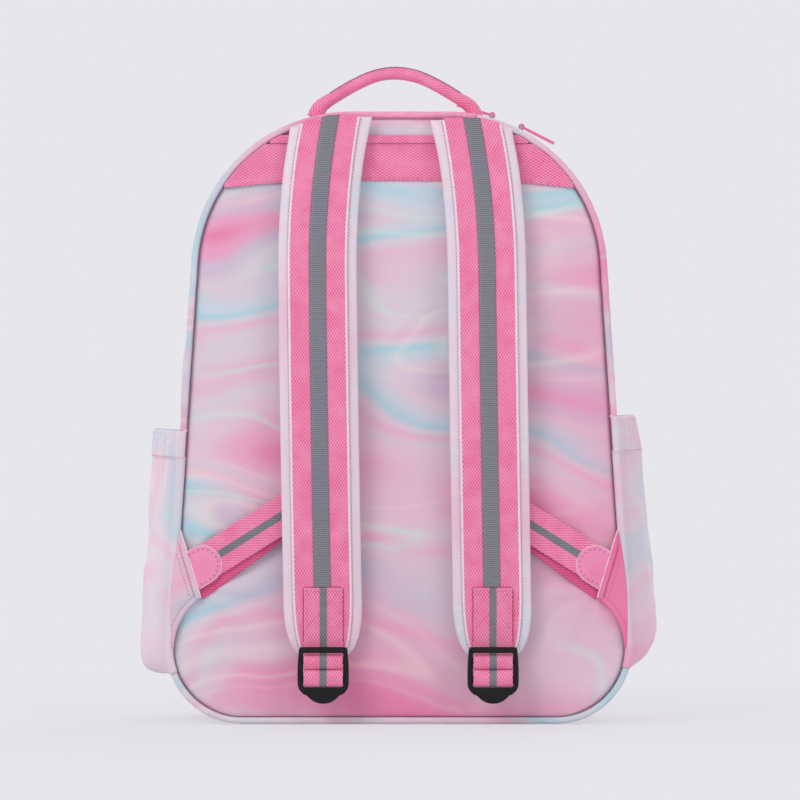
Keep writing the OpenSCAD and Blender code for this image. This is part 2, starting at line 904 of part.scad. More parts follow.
module buckle_outline() {
    translate([-buckle_w / 2, foot_z]) rounded_rect(buckle_w, buckle_top_z - foot_z, corner_r);
    translate([-thumb_w / 2, foot_z - thumb_l])
        rounded_rect(thumb_w, thumb_l + foot_h, thumb_l - corner_r / 2);
}

module buckle(side) {
    window_w = adj_w + 2 * gap;
    color(buckle_black) translate([buckle_x(side), 0, 0]) {
        slab(bar_y - buckle_t / 2, buckle_t) difference() {
            buckle_outline();
            translate([-window_w / 2, window_low_z]) square([window_w, window_top_z - window_low_z]);
        }
        for (z = [upper_bar_z, lower_bar_z])
            translate([0, bar_y, z]) rotate([0, 90, 0])
                cylinder(r = bar_r, h = window_w + rail_w, center = true);
    }
}

// The adjuster's loop over the lower bar, with its two ends behind the buckle
module buckle_loop(side) {
    back = bar_y + buckle_t / 2 + adj_t;
    color(webbing_pink) ribbon(buckle_x(side), adj_w) {
        loop_profile(lower_bar_z);
        for (z = [lower_bar_z + loop_r, lower_bar_z - loop_r])
            cloth_line([bar_y, z], [back, z], adj_t);
    }
}

module buckle_left() buckle(-1);
module buckle_right() buckle(1);
module buckle_loop_left() buckle_loop(-1);
module buckle_loop_right() buckle_loop(1);

// Zip sliders: X along the teeth, Z out of the bag, origin on the wall's outer face.
// The rear half of the inner plate is left away, so that the rear teeth part from the slider.

pin_r = 0.9;
post_t = teeth_gap - 2 * gap;
post_l = 4;
eye_r = pin_r + pin_gap + 1.2;
plate_low = teeth_proud + slider_gap;
plate_high = plate_low + plate_t;
inner_high = teeth_proud - teeth_t - slider_gap;
pin_z = plate_high + eye_r + gap;
eye_w = 3.4;
ear_t = 1.2;

module slider_plate(z, y, w) {
    translate([-slider_l / 2, y, z]) linear_extrude(plate_t) rounded_rect(slider_l, w, w / 4);
}

module zip_slider() {
    slider_plate(plate_low, -slider_w / 2, slider_w);
    slider_plate(inner_high - plate_t, -post_t / 2, (slider_w + post_t) / 2);
    translate([-post_l / 2, -post_t / 2, inner_high - plate_t])
        cube([post_l, post_t, plate_high - inner_high + plate_t]);
    for (y = [eye_w / 2 + pin_gap, -eye_w / 2 - pin_gap - ear_t])
        translate([-pin_r, y, plate_low]) cube([2 * pin_r, ear_t, pin_z + pin_r - plate_low]);
    translate([0, 0, pin_z]) rotate([90, 0, 0])
        cylinder(r = pin_r, h = eye_w + 2 * pin_gap + ear_t, center = true);
}

// A pull lies along +X from its pin at rest
module zip_pull() {
    neck_l = 2 * eye_r + ear_t;
    translate([0, 0, pin_z]) difference() {
        union() {
            rotate([90, 0, 0]) cylinder(r = eye_r, h = eye_w, center = true);
            translate([0, -eye_w / 2, -pull_t / 2]) cube([neck_l + 1, eye_w, pull_t]);
            translate([neck_l, -pull_w / 2, -pull_t / 2]) linear_extrude(pull_t)
                rounded_rect(pull_l - neck_l, pull_w, pull_w / 3);
        }
        rotate([90, 0, 0]) cylinder(r = pin_r + pin_gap, h = 2 * eye_w, center = true);
    }
}

module on_shoulder(a) {
    translate([top_c.x, zip_y, top_c.y]) rotate([0, 90 - a, 0])
        translate([0, 0, shoulder_r + swell]) children();
}

module main_slider_upper() {
    color(metal_grey) on_shoulder(upper_park) zip_slider();
}

module main_pull_upper() {
    color(webbing_pink) on_shoulder(upper_park) mirror([1, 0, 0]) zip_pull();
}

module main_slider_lower() {
    color(metal_grey) on_shoulder(upper_park - park_step) zip_slider();
}

module main_pull_lower() {
    color(webbing_pink) on_shoulder(upper_park - park_step) zip_pull();
}

module at_pocket_zip_end() {
    translate([pocket_zip_l / 2 - slider_l, pocket_face_y, pocket_zip_z]) rotate([-90, 0, 0])
        children();
}

module pocket_slider() {
    color(metal_grey) at_pocket_zip_end() zip_slider();
}

module pocket_pull() {
    color(webbing_pink) at_pocket_zip_end() mirror([1, 0, 0]) zip_pull();
}

// Carry handle: a rolled arc with round feet, which it tips on

handle_y = back_y + handle_in;
handle_x = handle_w / 2;
foot_slope = handle_x > top_c.x ? shoulder_r - sqrt(pow(shoulder_r, 2) - pow(handle_x - top_c.x, 2)) : 0;
foot_r = handle_r + foot_swell;
handle_z = bag_h + wall_out(handle_y + foot_r) - foot_slope + foot_r + gap;
handle_arc_r = (pow(handle_x, 2) + pow(handle_rise, 2)) / (2 * handle_rise);
handle_half = asin(handle_x / handle_arc_r);

module carry_handle() {
    color(webbing_pink) translate([0, handle_y, 0]) {
        translate([0, 0, handle_z + handle_rise - handle_arc_r]) rotate([90, 0, 0])
            rotate([0, 0, 90 - handle_half]) rotate_extrude(angle = 2 * handle_half)
                translate([handle_arc_r, 0]) circle(handle_r);
        for (x = [-handle_x, handle_x])
            translate([x, 0, handle_z]) sphere(foot_r);
    }
}

back_panel();
back_foam();
back_lining();
back_piping();
yoke_band();
base_panel();
base_board();
side_gusset_left();
side_gusset_right();
rear_gusset();
main_zip_tape_rear();
main_zip_teeth_rear();
main_zip_end_tabs();
front_lower_panel();
front_piping_lower();
front_pocket_gusset();
front_pocket_face();
front_pocket_zip_tapes();
front_pocket_zip_teeth();
side_pocket_left();
side_pocket_right();
side_pocket_hem_left();
side_pocket_hem_right();
wing_left();
wing_right();
adjuster_left();
adjuster_right();
adjuster_tail_left();
adjuster_tail_right();
patch_left();
patch_right();
inner_sleeve();
sleeve_binding();
flap_panel();
flap_gusset();
main_zip_tape_front();
main_zip_teeth_front();
front_piping_upper();
strap_pad_left();
strap_webbing_left();
strap_tape_left();
strap_tab_left();
adjuster_run_left();
strap_pad_right();
strap_webbing_right();
strap_tape_right();
strap_tab_right();
adjuster_run_right();
buckle_left();
buckle_loop_left();
buckle_right();
buckle_loop_right();
main_slider_upper();
main_pull_upper();
main_slider_lower();
main_pull_lower();
pocket_slider();
pocket_pull();
carry_handle();
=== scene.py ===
"""Looks of a school backpack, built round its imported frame.

Sizes are in millimetres and turn into metres where a mesh is made. +Z is up, the back panel with the
shoulder straps faces -Y and the front pocket faces +Y.
"""
import logging
import math
from dataclasses import dataclass
from enum import Enum
from functools import cached_property
from typing import Callable, NamedTuple, Sequence

import bmesh
import bpy
import numpy as np
from mathutils import Matrix, Vector
from mathutils.bvhtree import BVHTree


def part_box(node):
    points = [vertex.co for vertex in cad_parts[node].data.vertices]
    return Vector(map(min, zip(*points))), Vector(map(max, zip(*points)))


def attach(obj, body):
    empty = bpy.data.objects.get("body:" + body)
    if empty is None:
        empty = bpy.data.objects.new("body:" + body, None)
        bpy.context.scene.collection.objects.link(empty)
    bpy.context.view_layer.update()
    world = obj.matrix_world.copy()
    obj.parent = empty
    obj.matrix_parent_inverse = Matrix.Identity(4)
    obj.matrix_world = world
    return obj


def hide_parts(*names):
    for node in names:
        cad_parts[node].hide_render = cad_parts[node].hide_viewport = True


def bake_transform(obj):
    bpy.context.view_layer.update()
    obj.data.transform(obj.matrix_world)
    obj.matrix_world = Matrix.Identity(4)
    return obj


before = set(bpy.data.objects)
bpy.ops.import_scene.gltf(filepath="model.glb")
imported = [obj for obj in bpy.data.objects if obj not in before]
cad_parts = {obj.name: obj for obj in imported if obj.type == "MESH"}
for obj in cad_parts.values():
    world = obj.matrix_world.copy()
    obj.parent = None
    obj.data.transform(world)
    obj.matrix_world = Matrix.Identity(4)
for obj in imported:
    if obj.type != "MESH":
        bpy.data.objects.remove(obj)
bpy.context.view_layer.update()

MM = 0.001
LOG = logging.getLogger("backpack")

Array = np.ndarray
Piece = bpy.types.Object
Socket = bpy.types.NodeSocket
Rgba = tuple[float, float, float, float]
Point = tuple[float, float, float]
AHEAD: Point = (0.0, 1.0, 0.0)
BEHIND: Point = (0.0, -1.0, 0.0)
UP: Point = (0.0, 0.0, 1.0)
RIGHT: Point = (1.0, 0.0, 0.0)
MIRROR: Point = (-1.0, 1.0, 1.0)
SIGNS = (-1.0, 1.0)
QUARTER = math.pi / 2
TURN = 2 * math.pi


class Side(Enum):
    """A side of the bag as the photograph shows it, with the sign of its X."""

    LEFT = -1
    RIGHT = 1

    @property
    def label(self) -> str:
        """The side's word in the names of nodes, bodies and pieces."""
        return self.name.lower()

    def of(self, word: str) -> str:
        """A name that ends in the side's word."""
        return f"{word}_{self.label}"


class RowShape(Enum):
    """What a row of small repeated things is made of."""

    STITCH = "stitch"
    TOOTH = "tooth"
    HOLE = "hole"


class Slot(Enum):
    """The record's material slots, named beside new pieces."""

    PRINT = "print_fabric"
    EDGE = "edge_fabric"
    WEBBING = "webbing"
    TAPE = "reflective_tape"
    LEATHER = "leather_patch"
    BUCKLE = "buckle_plastic"
    ZIP_TAPE = "zip_tape"
    ZIP_TEETH = "zip_teeth"
    LINING = "lining"


def srgb(*parts: int) -> Rgba:
    """Turns a screen colour's red, green and blue, from 0 to 255, into linear light."""
    shares = [part / 255 for part in parts]
    return *(s / 12.92 if s <= 0.04045 else ((s + 0.055) / 1.055) ** 2.4 for s in shares), 1.0


# Node graphs


class Graph:
    """A node tree that is written as short calls."""

    def __init__(self, tree: bpy.types.NodeTree) -> None:
        """Starts from an empty tree."""
        self.tree = tree
        tree.nodes.clear()

    def node(self, kind: str, inputs: dict | None = None, **settings: object) -> bpy.types.Node:
        """Adds a node and fills its inputs.

        Args:
            kind: The node's type name.
            inputs: A value or an output socket for each named or numbered input.
            settings: The node's own properties.

        Returns:
            The new node.
        """
        node = self.tree.nodes.new(kind)
        for name, value in settings.items():
            setattr(node, name, value)
        for key, value in (inputs or {}).items():
            if isinstance(value, Socket):
                self.tree.links.new(value, node.inputs[key])
            else:
                node.inputs[key].default_value = value
        return node

    def add(self, kind: str, inputs: dict | None = None, output: int | str = 0, **settings: object) -> Socket:
        """Adds a node and returns one of its outputs."""
        return self.node(kind, inputs, **settings).outputs[output]

    @cached_property
    def spot(self) -> Socket:
        """The place on the piece."""
        return self.add("ShaderNodeTexCoord", output="Object")

    def read(self, name: str) -> Socket:
        """Reads a value that the mesh has at each point."""
        return self.add("ShaderNodeAttribute", output="Fac", attribute_name=name)

    def math(self, operation: str, first: object, second: object = 0.0, clamp: bool = False) -> Socket:
        """Adds a math node."""
        return self.add("ShaderNodeMath", {0: first, 1: second}, operation=operation, use_clamp=clamp)

    def times(self, first: object, second: object) -> Socket:
        """Multiplies two values."""
        return self.math("MULTIPLY", first, second)

    def noise(
        self, place: Socket, scale: float, detail: float, rough: float = 0.45, output: str = "Fac"
    ) -> Socket:
        """Adds a noise texture that reads a place."""
        inputs = {"Vector": place, "Scale": scale, "Detail": detail, "Roughness": rough}
        return self.add("ShaderNodeTexNoise", inputs, output)

    def mapping(self, place: Socket, **inputs: Point) -> Socket:
        """Moves, turns or stretches a place."""
        return self.add("ShaderNodeMapping", {"Vector": place, **inputs})

    def mapped(self, value: object, low: float, high: float, start: float = 0.0, end: float = 1.0) -> Socket:
        """Spreads the values between low and high over start to end, clamped."""
        return self.add("ShaderNodeMapRange", {0: value, 1: low, 2: high, 3: start, 4: end})

    def mix(self, share: object, first: object, second: object) -> Socket:
        """Mixes two colours."""
        return self.add("ShaderNodeMix", {0: share, 6: first, 7: second}, 2, data_type="RGBA")

    def vector(self, operation: str, inputs: dict) -> Socket:
        """Adds a vector math node."""
        return self.add("ShaderNodeVectorMath", inputs, operation=operation)

    def pushed(self, place: Socket, scale: float, detail: float, amount: float) -> Socket:
        """Moves a place by a noise's colour, centred, times an amount.

        Args:
            place: The place.
            scale: The noise's scale.
            detail: The noise's detail.
            amount: How far the noise pushes, in metres.

        Returns:
            The moved place.
        """
        push = self.noise(place, scale, detail, output="Color")
        centred = self.vector("SUBTRACT", {0: push, 1: (0.5, 0.5, 0.5)})
        return self.vector("ADD", {0: place, 1: self.vector("SCALE", {0: centred, "Scale": amount})})

    def ramp(self, value: Socket, stops: Sequence[tuple[float, Rgba]]) -> Socket:
        """Adds a smooth colour ramp.

        Args:
            value: What the ramp reads.
            stops: Place and colour of each stop.

        Returns:
            The colour.
        """
        node = self.node("ShaderNodeValToRGB", {0: value})
        node.color_ramp.interpolation = "EASE"
        elements = node.color_ramp.elements
        while len(elements) < len(stops):
            elements.new(0.5)
        for element, (position, colour) in zip(elements, stops):
            element.position = position
            element.color = colour
        return node.outputs[0]

    def bump(self, height: Socket, strength: float, depth: float) -> Socket:
        """Adds a bump of a depth in millimetres and returns its normal."""
        return self.add("ShaderNodeBump", {"Height": height, "Strength": strength, "Distance": depth * MM})


# Finishes


@dataclass(frozen=True)
class Finish:
    """A finish whose subclasses say what goes into its shader."""

    name: str

    def build(self) -> bpy.types.Material:
        """Makes the material, or returns the one that is there already."""
        found = bpy.data.materials.get(self.name)
        if found is not None:
            return found
        material = bpy.data.materials.new(self.name)
        material.use_nodes = True
        graph = Graph(material.node_tree)
        graph.node("ShaderNodeOutputMaterial", {0: self.surface(graph)})
        return material

    def surface(self, graph: Graph) -> Socket:
        """The shader that the material shows."""
        return graph.add("ShaderNodeBsdfPrincipled", self.paint(graph))

    def paint(self, graph: Graph) -> dict[str, object]:
        """What goes into the shader's inputs."""
        raise NotImplementedError


MARBLE_STOPS = (
    (0.00, srgb(236, 112, 164)),
    (0.10, srgb(238, 138, 182)),
    (0.20, srgb(238, 178, 206)),
    (0.31, srgb(231, 204, 220)),
    (0.41, srgb(224, 210, 222)),
    (0.50, srgb(234, 192, 213)),
    (0.57, srgb(222, 212, 224)),
    (0.63, srgb(180, 217, 228)),
    (0.70, srgb(208, 217, 228)),
    (0.77, srgb(226, 208, 221)),
    (0.85, srgb(214, 194, 216)),
    (0.92, srgb(238, 166, 200)),
    (1.00, srgb(236, 120, 168)),
)
STREAK_STOPS = (
    (0.00, srgb(250, 238, 214)),
    (0.45, srgb(206, 238, 226)),
    (1.00, srgb(196, 206, 240)),
)


@dataclass(frozen=True)
class MarbleCloth(Finish):
    """Smooth satin cloth with a flowing pastel marble."""

    shift: Point = (0.0, 0.0, 0.0)
    turn: float = 5.0
    bleach: float = 0.0
    blush: float = 0.5
    dye: float = 0.0

    def paint(self, graph: Graph) -> dict[str, object]:
        """Lays soft bands along the level lines of a bent noise, with veins, pools and rings.

        Args:
            graph: The material's node graph.

        Returns:
            A value or a socket for each named input of the shader.
        """
        place = graph.mapping(graph.spot, Location=self.shift, Rotation=(0.0, math.radians(self.turn), 0.0))
        bent = graph.pushed(place, 3.4, 1.2, 0.19)
        flow = graph.mapping(graph.pushed(bent, 9.0, 1.0, 0.05), Scale=(3.2, 3.2, 10.5))
        bands = graph.noise(flow, 1.0, 1.4, 0.42)
        cloud = graph.noise(bent, 5.2, 0.0)
        basin = graph.noise(flow, 0.9, 0.8)
        near = graph.math("ABSOLUTE", graph.math("SUBTRACT", graph.noise(flow, 1.9, 0.6), 0.52))
        shown = graph.mapped(graph.noise(place, 8.0, 0.0), 0.48, 0.64)
        rings = graph.mapped(graph.math("PINGPONG", basin, 0.022), 0.012, 0.0, 0.0, 0.30)
        layers = (
            (graph.times(graph.mapped(cloud, 0.46, 0.68), self.blush), srgb(238, 136, 180)),
            (graph.times(graph.mapped(cloud, 0.42, 0.24), 0.5), srgb(235, 218, 230)),
            (graph.times(graph.mapped(near, 0.032, 0.0, 0.0, 0.5), shown), graph.ramp(cloud, STREAK_STOPS)),
            (graph.mapped(basin, 0.59, 0.71, 0.0, 0.9), srgb(168, 218, 230)),
            (graph.times(rings, graph.mapped(basin, 0.50, 0.58)), srgb(252, 240, 226)),
            (self.bleach, srgb(238, 225, 235)),
            (self.dye, srgb(240, 106, 158)),
        )
        colour = graph.ramp(graph.mapped(bands, 0.28, 0.72), MARBLE_STOPS)
        for share, tone in layers:
            if share:
                colour = graph.mix(share, colour, tone)
        crumple = graph.noise(graph.spot, 55.0, 3.0, 0.55)
        fine = graph.times(graph.noise(graph.spot, 1500.0, 2.0), 0.2)
        height = graph.math("ADD", graph.times(crumple, 0.8), fine)
        return {
            "Base Color": colour, "Roughness": graph.mapped(crumple, 0.3, 0.7, 0.42, 0.58),
            "Normal": graph.bump(height, 0.35, 0.5), "Sheen Weight": 0.15, "Sheen Roughness": 0.4,
            "Specular IOR Level": 0.4,
        }


@dataclass(frozen=True)
class Webbing(Finish):
    """Woven webbing, painted light on its raised picks as highlight and dark between them as shade, with a
    grey stripe where the mesh says so.
    """

    # dark is the painted shade between the picks, light the painted highlight on them.
    dark: Rgba = srgb(233, 68, 135)
    light: Rgba = srgb(255, 178, 210)

    def paint(self, graph: Graph) -> dict[str, object]:
        """Reads how high the weave stands from the mesh and paints a highlight on the raised picks and shade
        between them.

        Args:
            graph: The material's node graph.

        Returns:
            A value or a socket for each named input of the shader.
        """
        uneven = graph.mapped(graph.noise(graph.spot, 90.0, 2.0), 0.3, 0.7, -0.1, 0.1)
        # Painted highlight and shade: the weave's height, made a little uneven, mixes the gap colour towards
        # the pick colour.
        raised = graph.math("ADD", graph.read("weave"), uneven, clamp=True)
        pink = graph.mix(raised, self.dark, self.light)
        grey = graph.mix(raised, srgb(96, 97, 106), srgb(150, 151, 160))
        yarn = graph.noise(graph.spot, 2600.0, 2.0)
        return {
            "Base Color": graph.mix(graph.read("stripe"), pink, grey), "Roughness": 0.62,
            "Normal": graph.bump(yarn, 0.25, 0.2), "Sheen Weight": 0.2, "Sheen Roughness": 0.5,
            "Specular IOR Level": 0.35,
        }


@dataclass(frozen=True)
class ReflectiveRibs(Finish):
    """Grey ribbed tape with a faint metallic glint."""

    def paint(self, graph: Graph) -> dict[str, object]:
        """Paints shade into the grooves between the ribs, which the mesh gives.

        Args:
            graph: The material's node graph.

        Returns:
            A value or a socket for each named input of the shader.
        """
        beads = graph.noise(graph.spot, 1900.0, 1.0)
        # Painted shade: the ribs' height darkens the grooves between them.
        colour = graph.mix(graph.read("weave"), srgb(92, 93, 102), srgb(142, 143, 153))
        return {
            "Base Color": graph.mix(graph.mapped(beads, 0.35, 0.7, 0.0, 0.25), colour, srgb(176, 178, 188)),
            "Roughness": graph.mapped(beads, 0.3, 0.7, 0.34, 0.52), "Metallic": 0.15,
            "Normal": graph.bump(beads, 0.3, 0.12),
        }


@dataclass(frozen=True)
class PatchLeather(Finish):
    """Smooth pink leather-like sheet with a fine pebble grain."""

    def paint(self, graph: Graph) -> dict[str, object]:
        """Adds the grain as a bump and a slight change of tone.

        Args:
            graph: The material's node graph.

        Returns:
            A value or a socket for each named input of the shader.
        """
        pebble = graph.add("ShaderNodeTexVoronoi", {"Vector": graph.spot, "Scale": 1300.0}, "Distance")
        tone = graph.noise(graph.spot, 70.0, 3.0)
        return {
            "Base Color": graph.mix(tone, srgb(238, 124, 174), srgb(250, 160, 198)),
            "Roughness": graph.mapped(tone, 0.3, 0.7, 0.38, 0.5),
            "Normal": graph.bump(pebble, 0.3, 0.15), "Specular IOR Level": 0.45,
        }


@dataclass(frozen=True)
class MouldedPlastic(Finish):
    """Moulded plastic with a fine spark-eroded skin and rubbed high spots."""

    colour: Rgba = srgb(15, 15, 16)
    rubbed: Rgba = srgb(42, 42, 46)
    rough: float = 0.42
    gloss: float = 0.25

    def paint(self, graph: Graph) -> dict[str, object]:
        """Rubs the skin lighter in patches and on the edges.

        Args:
            graph: The material's node graph.

        Returns:
            A value or a socket for each named input of the shader.
        """
        skin = graph.noise(graph.spot, 2400.0, 2.0)
        scuff = graph.noise(graph.spot, 130.0, 4.0, 0.6)
        edge = graph.add("ShaderNodeNewGeometry", output="Pointiness")
        worn = graph.mapped(edge, 0.5, 0.6, 0.0, 0.5)
        wear = graph.math("ADD", graph.mapped(scuff, 0.5, 0.8, 0.0, 0.5), worn)
        return {
            "Base Color": graph.mix(wear, self.colour, self.rubbed),
            "Roughness": graph.mapped(scuff, 0.3, 0.7, self.rough - 0.06, self.rough + 0.1),
            "Normal": graph.bump(skin, 0.2, 0.08), "Specular IOR Level": self.gloss,
        }


@dataclass(frozen=True)
class ZipTapeCloth(Finish):
    """Knitted zip tape with fine ribs along its length."""

    def paint(self, graph: Graph) -> dict[str, object]:
        """Runs ribs along the tape, across its own map.

        Args:
            graph: The material's node graph.

        Returns:
            A value or a socket for each named input of the shader.
        """
        inputs = {"Vector": graph.add("ShaderNodeUVMap"), "Scale": 260.0, "Distortion": 0.6}
        ribs = graph.add("ShaderNodeTexWave", inputs, "Fac")
        return {
            "Base Color": graph.mix(ribs, srgb(226, 104, 160), srgb(246, 152, 192)), "Roughness": 0.7,
            "Normal": graph.bump(ribs, 0.4, 0.25), "Sheen Weight": 0.2,
        }


@dataclass(frozen=True)
class SliderMetal(Finish):
    """Nickel-plated die casting, brushed and slightly worn."""

    def paint(self, graph: Graph) -> dict[str, object]:
        """Draws short brush marks and dulls them in patches.

        Args:
            graph: The material's node graph.

        Returns:
            A value or a socket for each named input of the shader.
        """
        marks = graph.noise(graph.mapping(graph.spot, Scale=(300.0, 4000.0, 4000.0)), 1.0, 2.0)
        dull = graph.noise(graph.spot, 240.0, 3.0)
        return {
            "Base Color": graph.mix(dull, srgb(172, 172, 178), srgb(205, 205, 210)), "Metallic": 1.0,
            "Roughness": graph.mapped(marks, 0.3, 0.7, 0.24, 0.42), "Normal": graph.bump(marks, 0.15, 0.05),
        }


@dataclass(frozen=True)
class Thread(Finish):
    """Twisted sewing thread."""

    colour: Rgba = srgb(214, 92, 148)

    def paint(self, graph: Graph) -> dict[str, object]:
        """Twists a fine bump along the thread.

        Args:
            graph: The material's node graph.

        Returns:
            A value or a socket for each named input of the shader.
        """
        twist = graph.noise(graph.spot, 3200.0, 1.0)
        shade = graph.mapped(twist, 0.3, 0.7, 0.0, 0.35)
        return {
            "Base Color": graph.mix(shade, self.colour, srgb(250, 214, 230)), "Roughness": 0.55,
            "Normal": graph.bump(twist, 0.4, 0.1), "Sheen Weight": 0.2,
        }


@dataclass(frozen=True)
class PlainCloth(Finish):
    """Plain woven cloth in one colour, with slubs."""

    dark: Rgba = srgb(232, 168, 196)
    light: Rgba = srgb(246, 200, 220)

    def paint(self, graph: Graph) -> dict[str, object]:
        """Crosses two fine noises, stretched along and across, as warp and weft.

        Args:
            graph: The material's node graph.

        Returns:
            A value or a socket for each named input of the shader.
        """
        scales = ((2200.0, 2200.0, 120.0), (120.0, 120.0, 2200.0))
        yarns = [graph.noise(graph.mapping(graph.spot, Scale=scale), 1.0, 1.0) for scale in scales]
        weave = graph.times(graph.math("ADD", *yarns), 0.5)
        return {
            "Base Color": graph.mix(graph.mapped(weave, 0.35, 0.65), self.dark, self.light),
            "Roughness": 0.75, "Normal": graph.bump(weave, 0.4, 0.2), "Sheen Weight": 0.15,
        }


BACKDROP = srgb(231, 230, 235)


@dataclass(frozen=True)
class StudioFloor(Finish):
    """Pale studio floor that shows the camera an even tone and still takes a soft shadow."""

    evenness: float = 0.72

    def surface(self, graph: Graph) -> Socket:
        """Mixes a plain glow for camera rays with a pale matt floor.

        Args:
            graph: The material's node graph.

        Returns:
            The shader's socket.
        """
        path = graph.node("ShaderNodeLightPath").outputs
        seen = graph.math("MAXIMUM", path["Is Camera Ray"], path["Is Glossy Ray"])
        seen = graph.math("MAXIMUM", seen, path["Is Transmission Ray"])
        away = graph.node("ShaderNodeVectorMath", {0: graph.spot}, operation="LENGTH").outputs["Value"]
        share = graph.times(seen, graph.mapped(away, 0.25, 0.75, self.evenness, 1.0))
        matt = graph.add("ShaderNodeBsdfDiffuse", {"Color": BACKDROP})
        glow = graph.add("ShaderNodeEmission", {"Color": BACKDROP, "Strength": 1.0})
        return graph.add("ShaderNodeMixShader", {0: share, 1: matt, 2: glow})


PANEL_CLOTH = MarbleCloth("marble_panel", shift=(3.15, 0.1, 2.15))
WALL_CLOTH = MarbleCloth("marble_wall", shift=(1.30, 0.4, 0.55), turn=-8.0)
FRONT_CLOTH = MarbleCloth("marble_front", shift=(2.10, 0.9, 1.30), turn=16.0)
POCKET_CLOTH = MarbleCloth("marble_pocket", shift=(0.80, 2.1, 0.62), turn=-14.0)
SIDE_CLOTH = MarbleCloth("marble_side_pocket", shift=(3.40, 1.7, 2.25), turn=6.0, bleach=0.35, blush=0.2)
STRAP_CLOTH = MarbleCloth("marble_strap", shift=(4.10, 0.0, 0.33), turn=4.0, bleach=0.7, blush=0.1)
WING_CLOTHS = {
    Side.LEFT: MarbleCloth("marble_wing_left", shift=(5.35, 0.0, 0.12), turn=20.0, bleach=0.2, dye=0.25),
    Side.RIGHT: MarbleCloth("marble_wing_right", shift=(5.35, 0.0, 0.12), turn=20.0, dye=0.8),
}
EDGE_CLOTH = MarbleCloth("marble_edge", shift=(6.20, 0.3, 0.75), turn=10.0, bleach=0.1, blush=0.7)
PINK_WEBBING = Webbing("pink_webbing")
# A darker copy of the pink webbing: painted shade for the adjuster's tail, which lies in shadow.
SHADED_WEBBING = Webbing("shaded_webbing", dark=srgb(208, 46, 108), light=srgb(240, 120, 168))
GREY_TAPE = ReflectiveRibs("reflective_ribs")
PINK_LEATHER = PatchLeather("patch_leather")
BLACK_PLASTIC = MouldedPlastic("buckle_moulding")
TEETH_PLASTIC = MouldedPlastic("zip_teeth_plastic", srgb(228, 84, 146), srgb(248, 150, 192), 0.35, 0.5)
PULL_RUBBER = MouldedPlastic("pull_moulding", srgb(234, 88, 150), srgb(250, 150, 192), 0.5, 0.5)
ZIP_CLOTH = ZipTapeCloth("zip_tape_cloth")
NICKEL = SliderMetal("slider_nickel")
ROSE_THREAD = Thread("rose_thread")
PALE_THREAD = Thread("pale_thread", srgb(246, 222, 234))
PLUM_THREAD = Thread("plum_thread", srgb(150, 72, 112))
LINING_CLOTH = PlainCloth("lining_cloth")
BINDING_CLOTH = PlainCloth("binding_cloth", srgb(232, 96, 152), srgb(250, 140, 184))
BOARD_CLOTH = PlainCloth("board_cloth", srgb(168, 162, 172), srgb(198, 194, 202))
CROWN_CLOTH = PlainCloth("crown_cloth", srgb(240, 144, 184), srgb(253, 178, 208))
# Painted shadow colour for the thin line round each strap tab.
TAB_SHADOW_CLOTH = PlainCloth("wine_cloth", srgb(176, 34, 88), srgb(206, 58, 112))
SEAM_SHADE = PlainCloth("seam_shade", srgb(108, 66, 92), srgb(150, 100, 128))
# Pale cloth for the straps' folded edges, and for thin lines that are painted highlights on the wing's fold
# and the patch's rim.
FOLD_AND_HIGHLIGHT_CLOTH = PlainCloth("fold_cloth", srgb(238, 214, 228), srgb(252, 238, 246))


# Mesh helpers


def unit(vectors: Array) -> Array:
    """The same directions with a length of 1."""
    return vectors / np.linalg.norm(vectors, axis=-1, keepdims=True)


def spots(x: Array | float, y: Array | float, z: Array | float) -> Array:
    """Places from their coordinates, each an array or one number for all."""
    return np.stack(np.broadcast_arrays(x, y, z), -1).astype(float)


def run_lengths(places: Array) -> Array:
    """Length along a run of places at each of them."""
    return np.concatenate([[0.0], np.cumsum(np.linalg.norm(np.diff(places, axis=0), axis=1))])


def nearest(points: Array, line: Array) -> tuple[Array, Array]:
    """How far each point lies from the nearest place of a line, and that place's number."""
    numbers = np.array([np.linalg.norm(line - point, axis=1).argmin() for point in points])
    return np.linalg.norm(points - line[numbers], axis=1), numbers


def round_rise(share: Array) -> Array:
    """Rises from 0 to 1 along a quarter of a circle."""
    return np.sqrt(np.clip(1 - (1 - np.clip(share, 0.0, 1.0)) ** 2, 0.0, 1.0))


def quadratic(start: Array, bend: Array, end: Array, count: int) -> Array:
    """Places along a curve that leaves its start towards a bend and reaches its end."""
    t = np.linspace(0.0, 1.0, count)[:, None]
    return (1 - t) ** 2 * start + 2 * t * (1 - t) * bend + t**2 * end


def ripple(points: Array, size: float, seed: int, waves: int = 9) -> Array:
    """Smooth uneven relief from a few plane waves.

    Args:
        points: Places in two or three dimensions.
        size: The usual length of a wave, in millimetres.
        seed: The seed of the waves.
        waves: How many waves are added.

    Returns:
        A value from about -1 to 1 for each place.
    """
    draw = np.random.default_rng(seed)
    total = np.zeros(len(points))
    for _ in range(waves):
        way = draw.normal(size=points.shape[1])
        way *= TURN / (size * draw.uniform(0.7, 1.6)) / np.linalg.norm(way)
        total += np.cos(points @ way + draw.uniform(0, TURN))
    return total / math.sqrt(2 * waves)


def rippled(height: float, size: float, seed: int) -> Callable[[Array], Array]:
    """A relief of ripples across a panel, for soft_panel."""
    return lambda places: height * ripple(places[:, [0, 2]], size, seed)


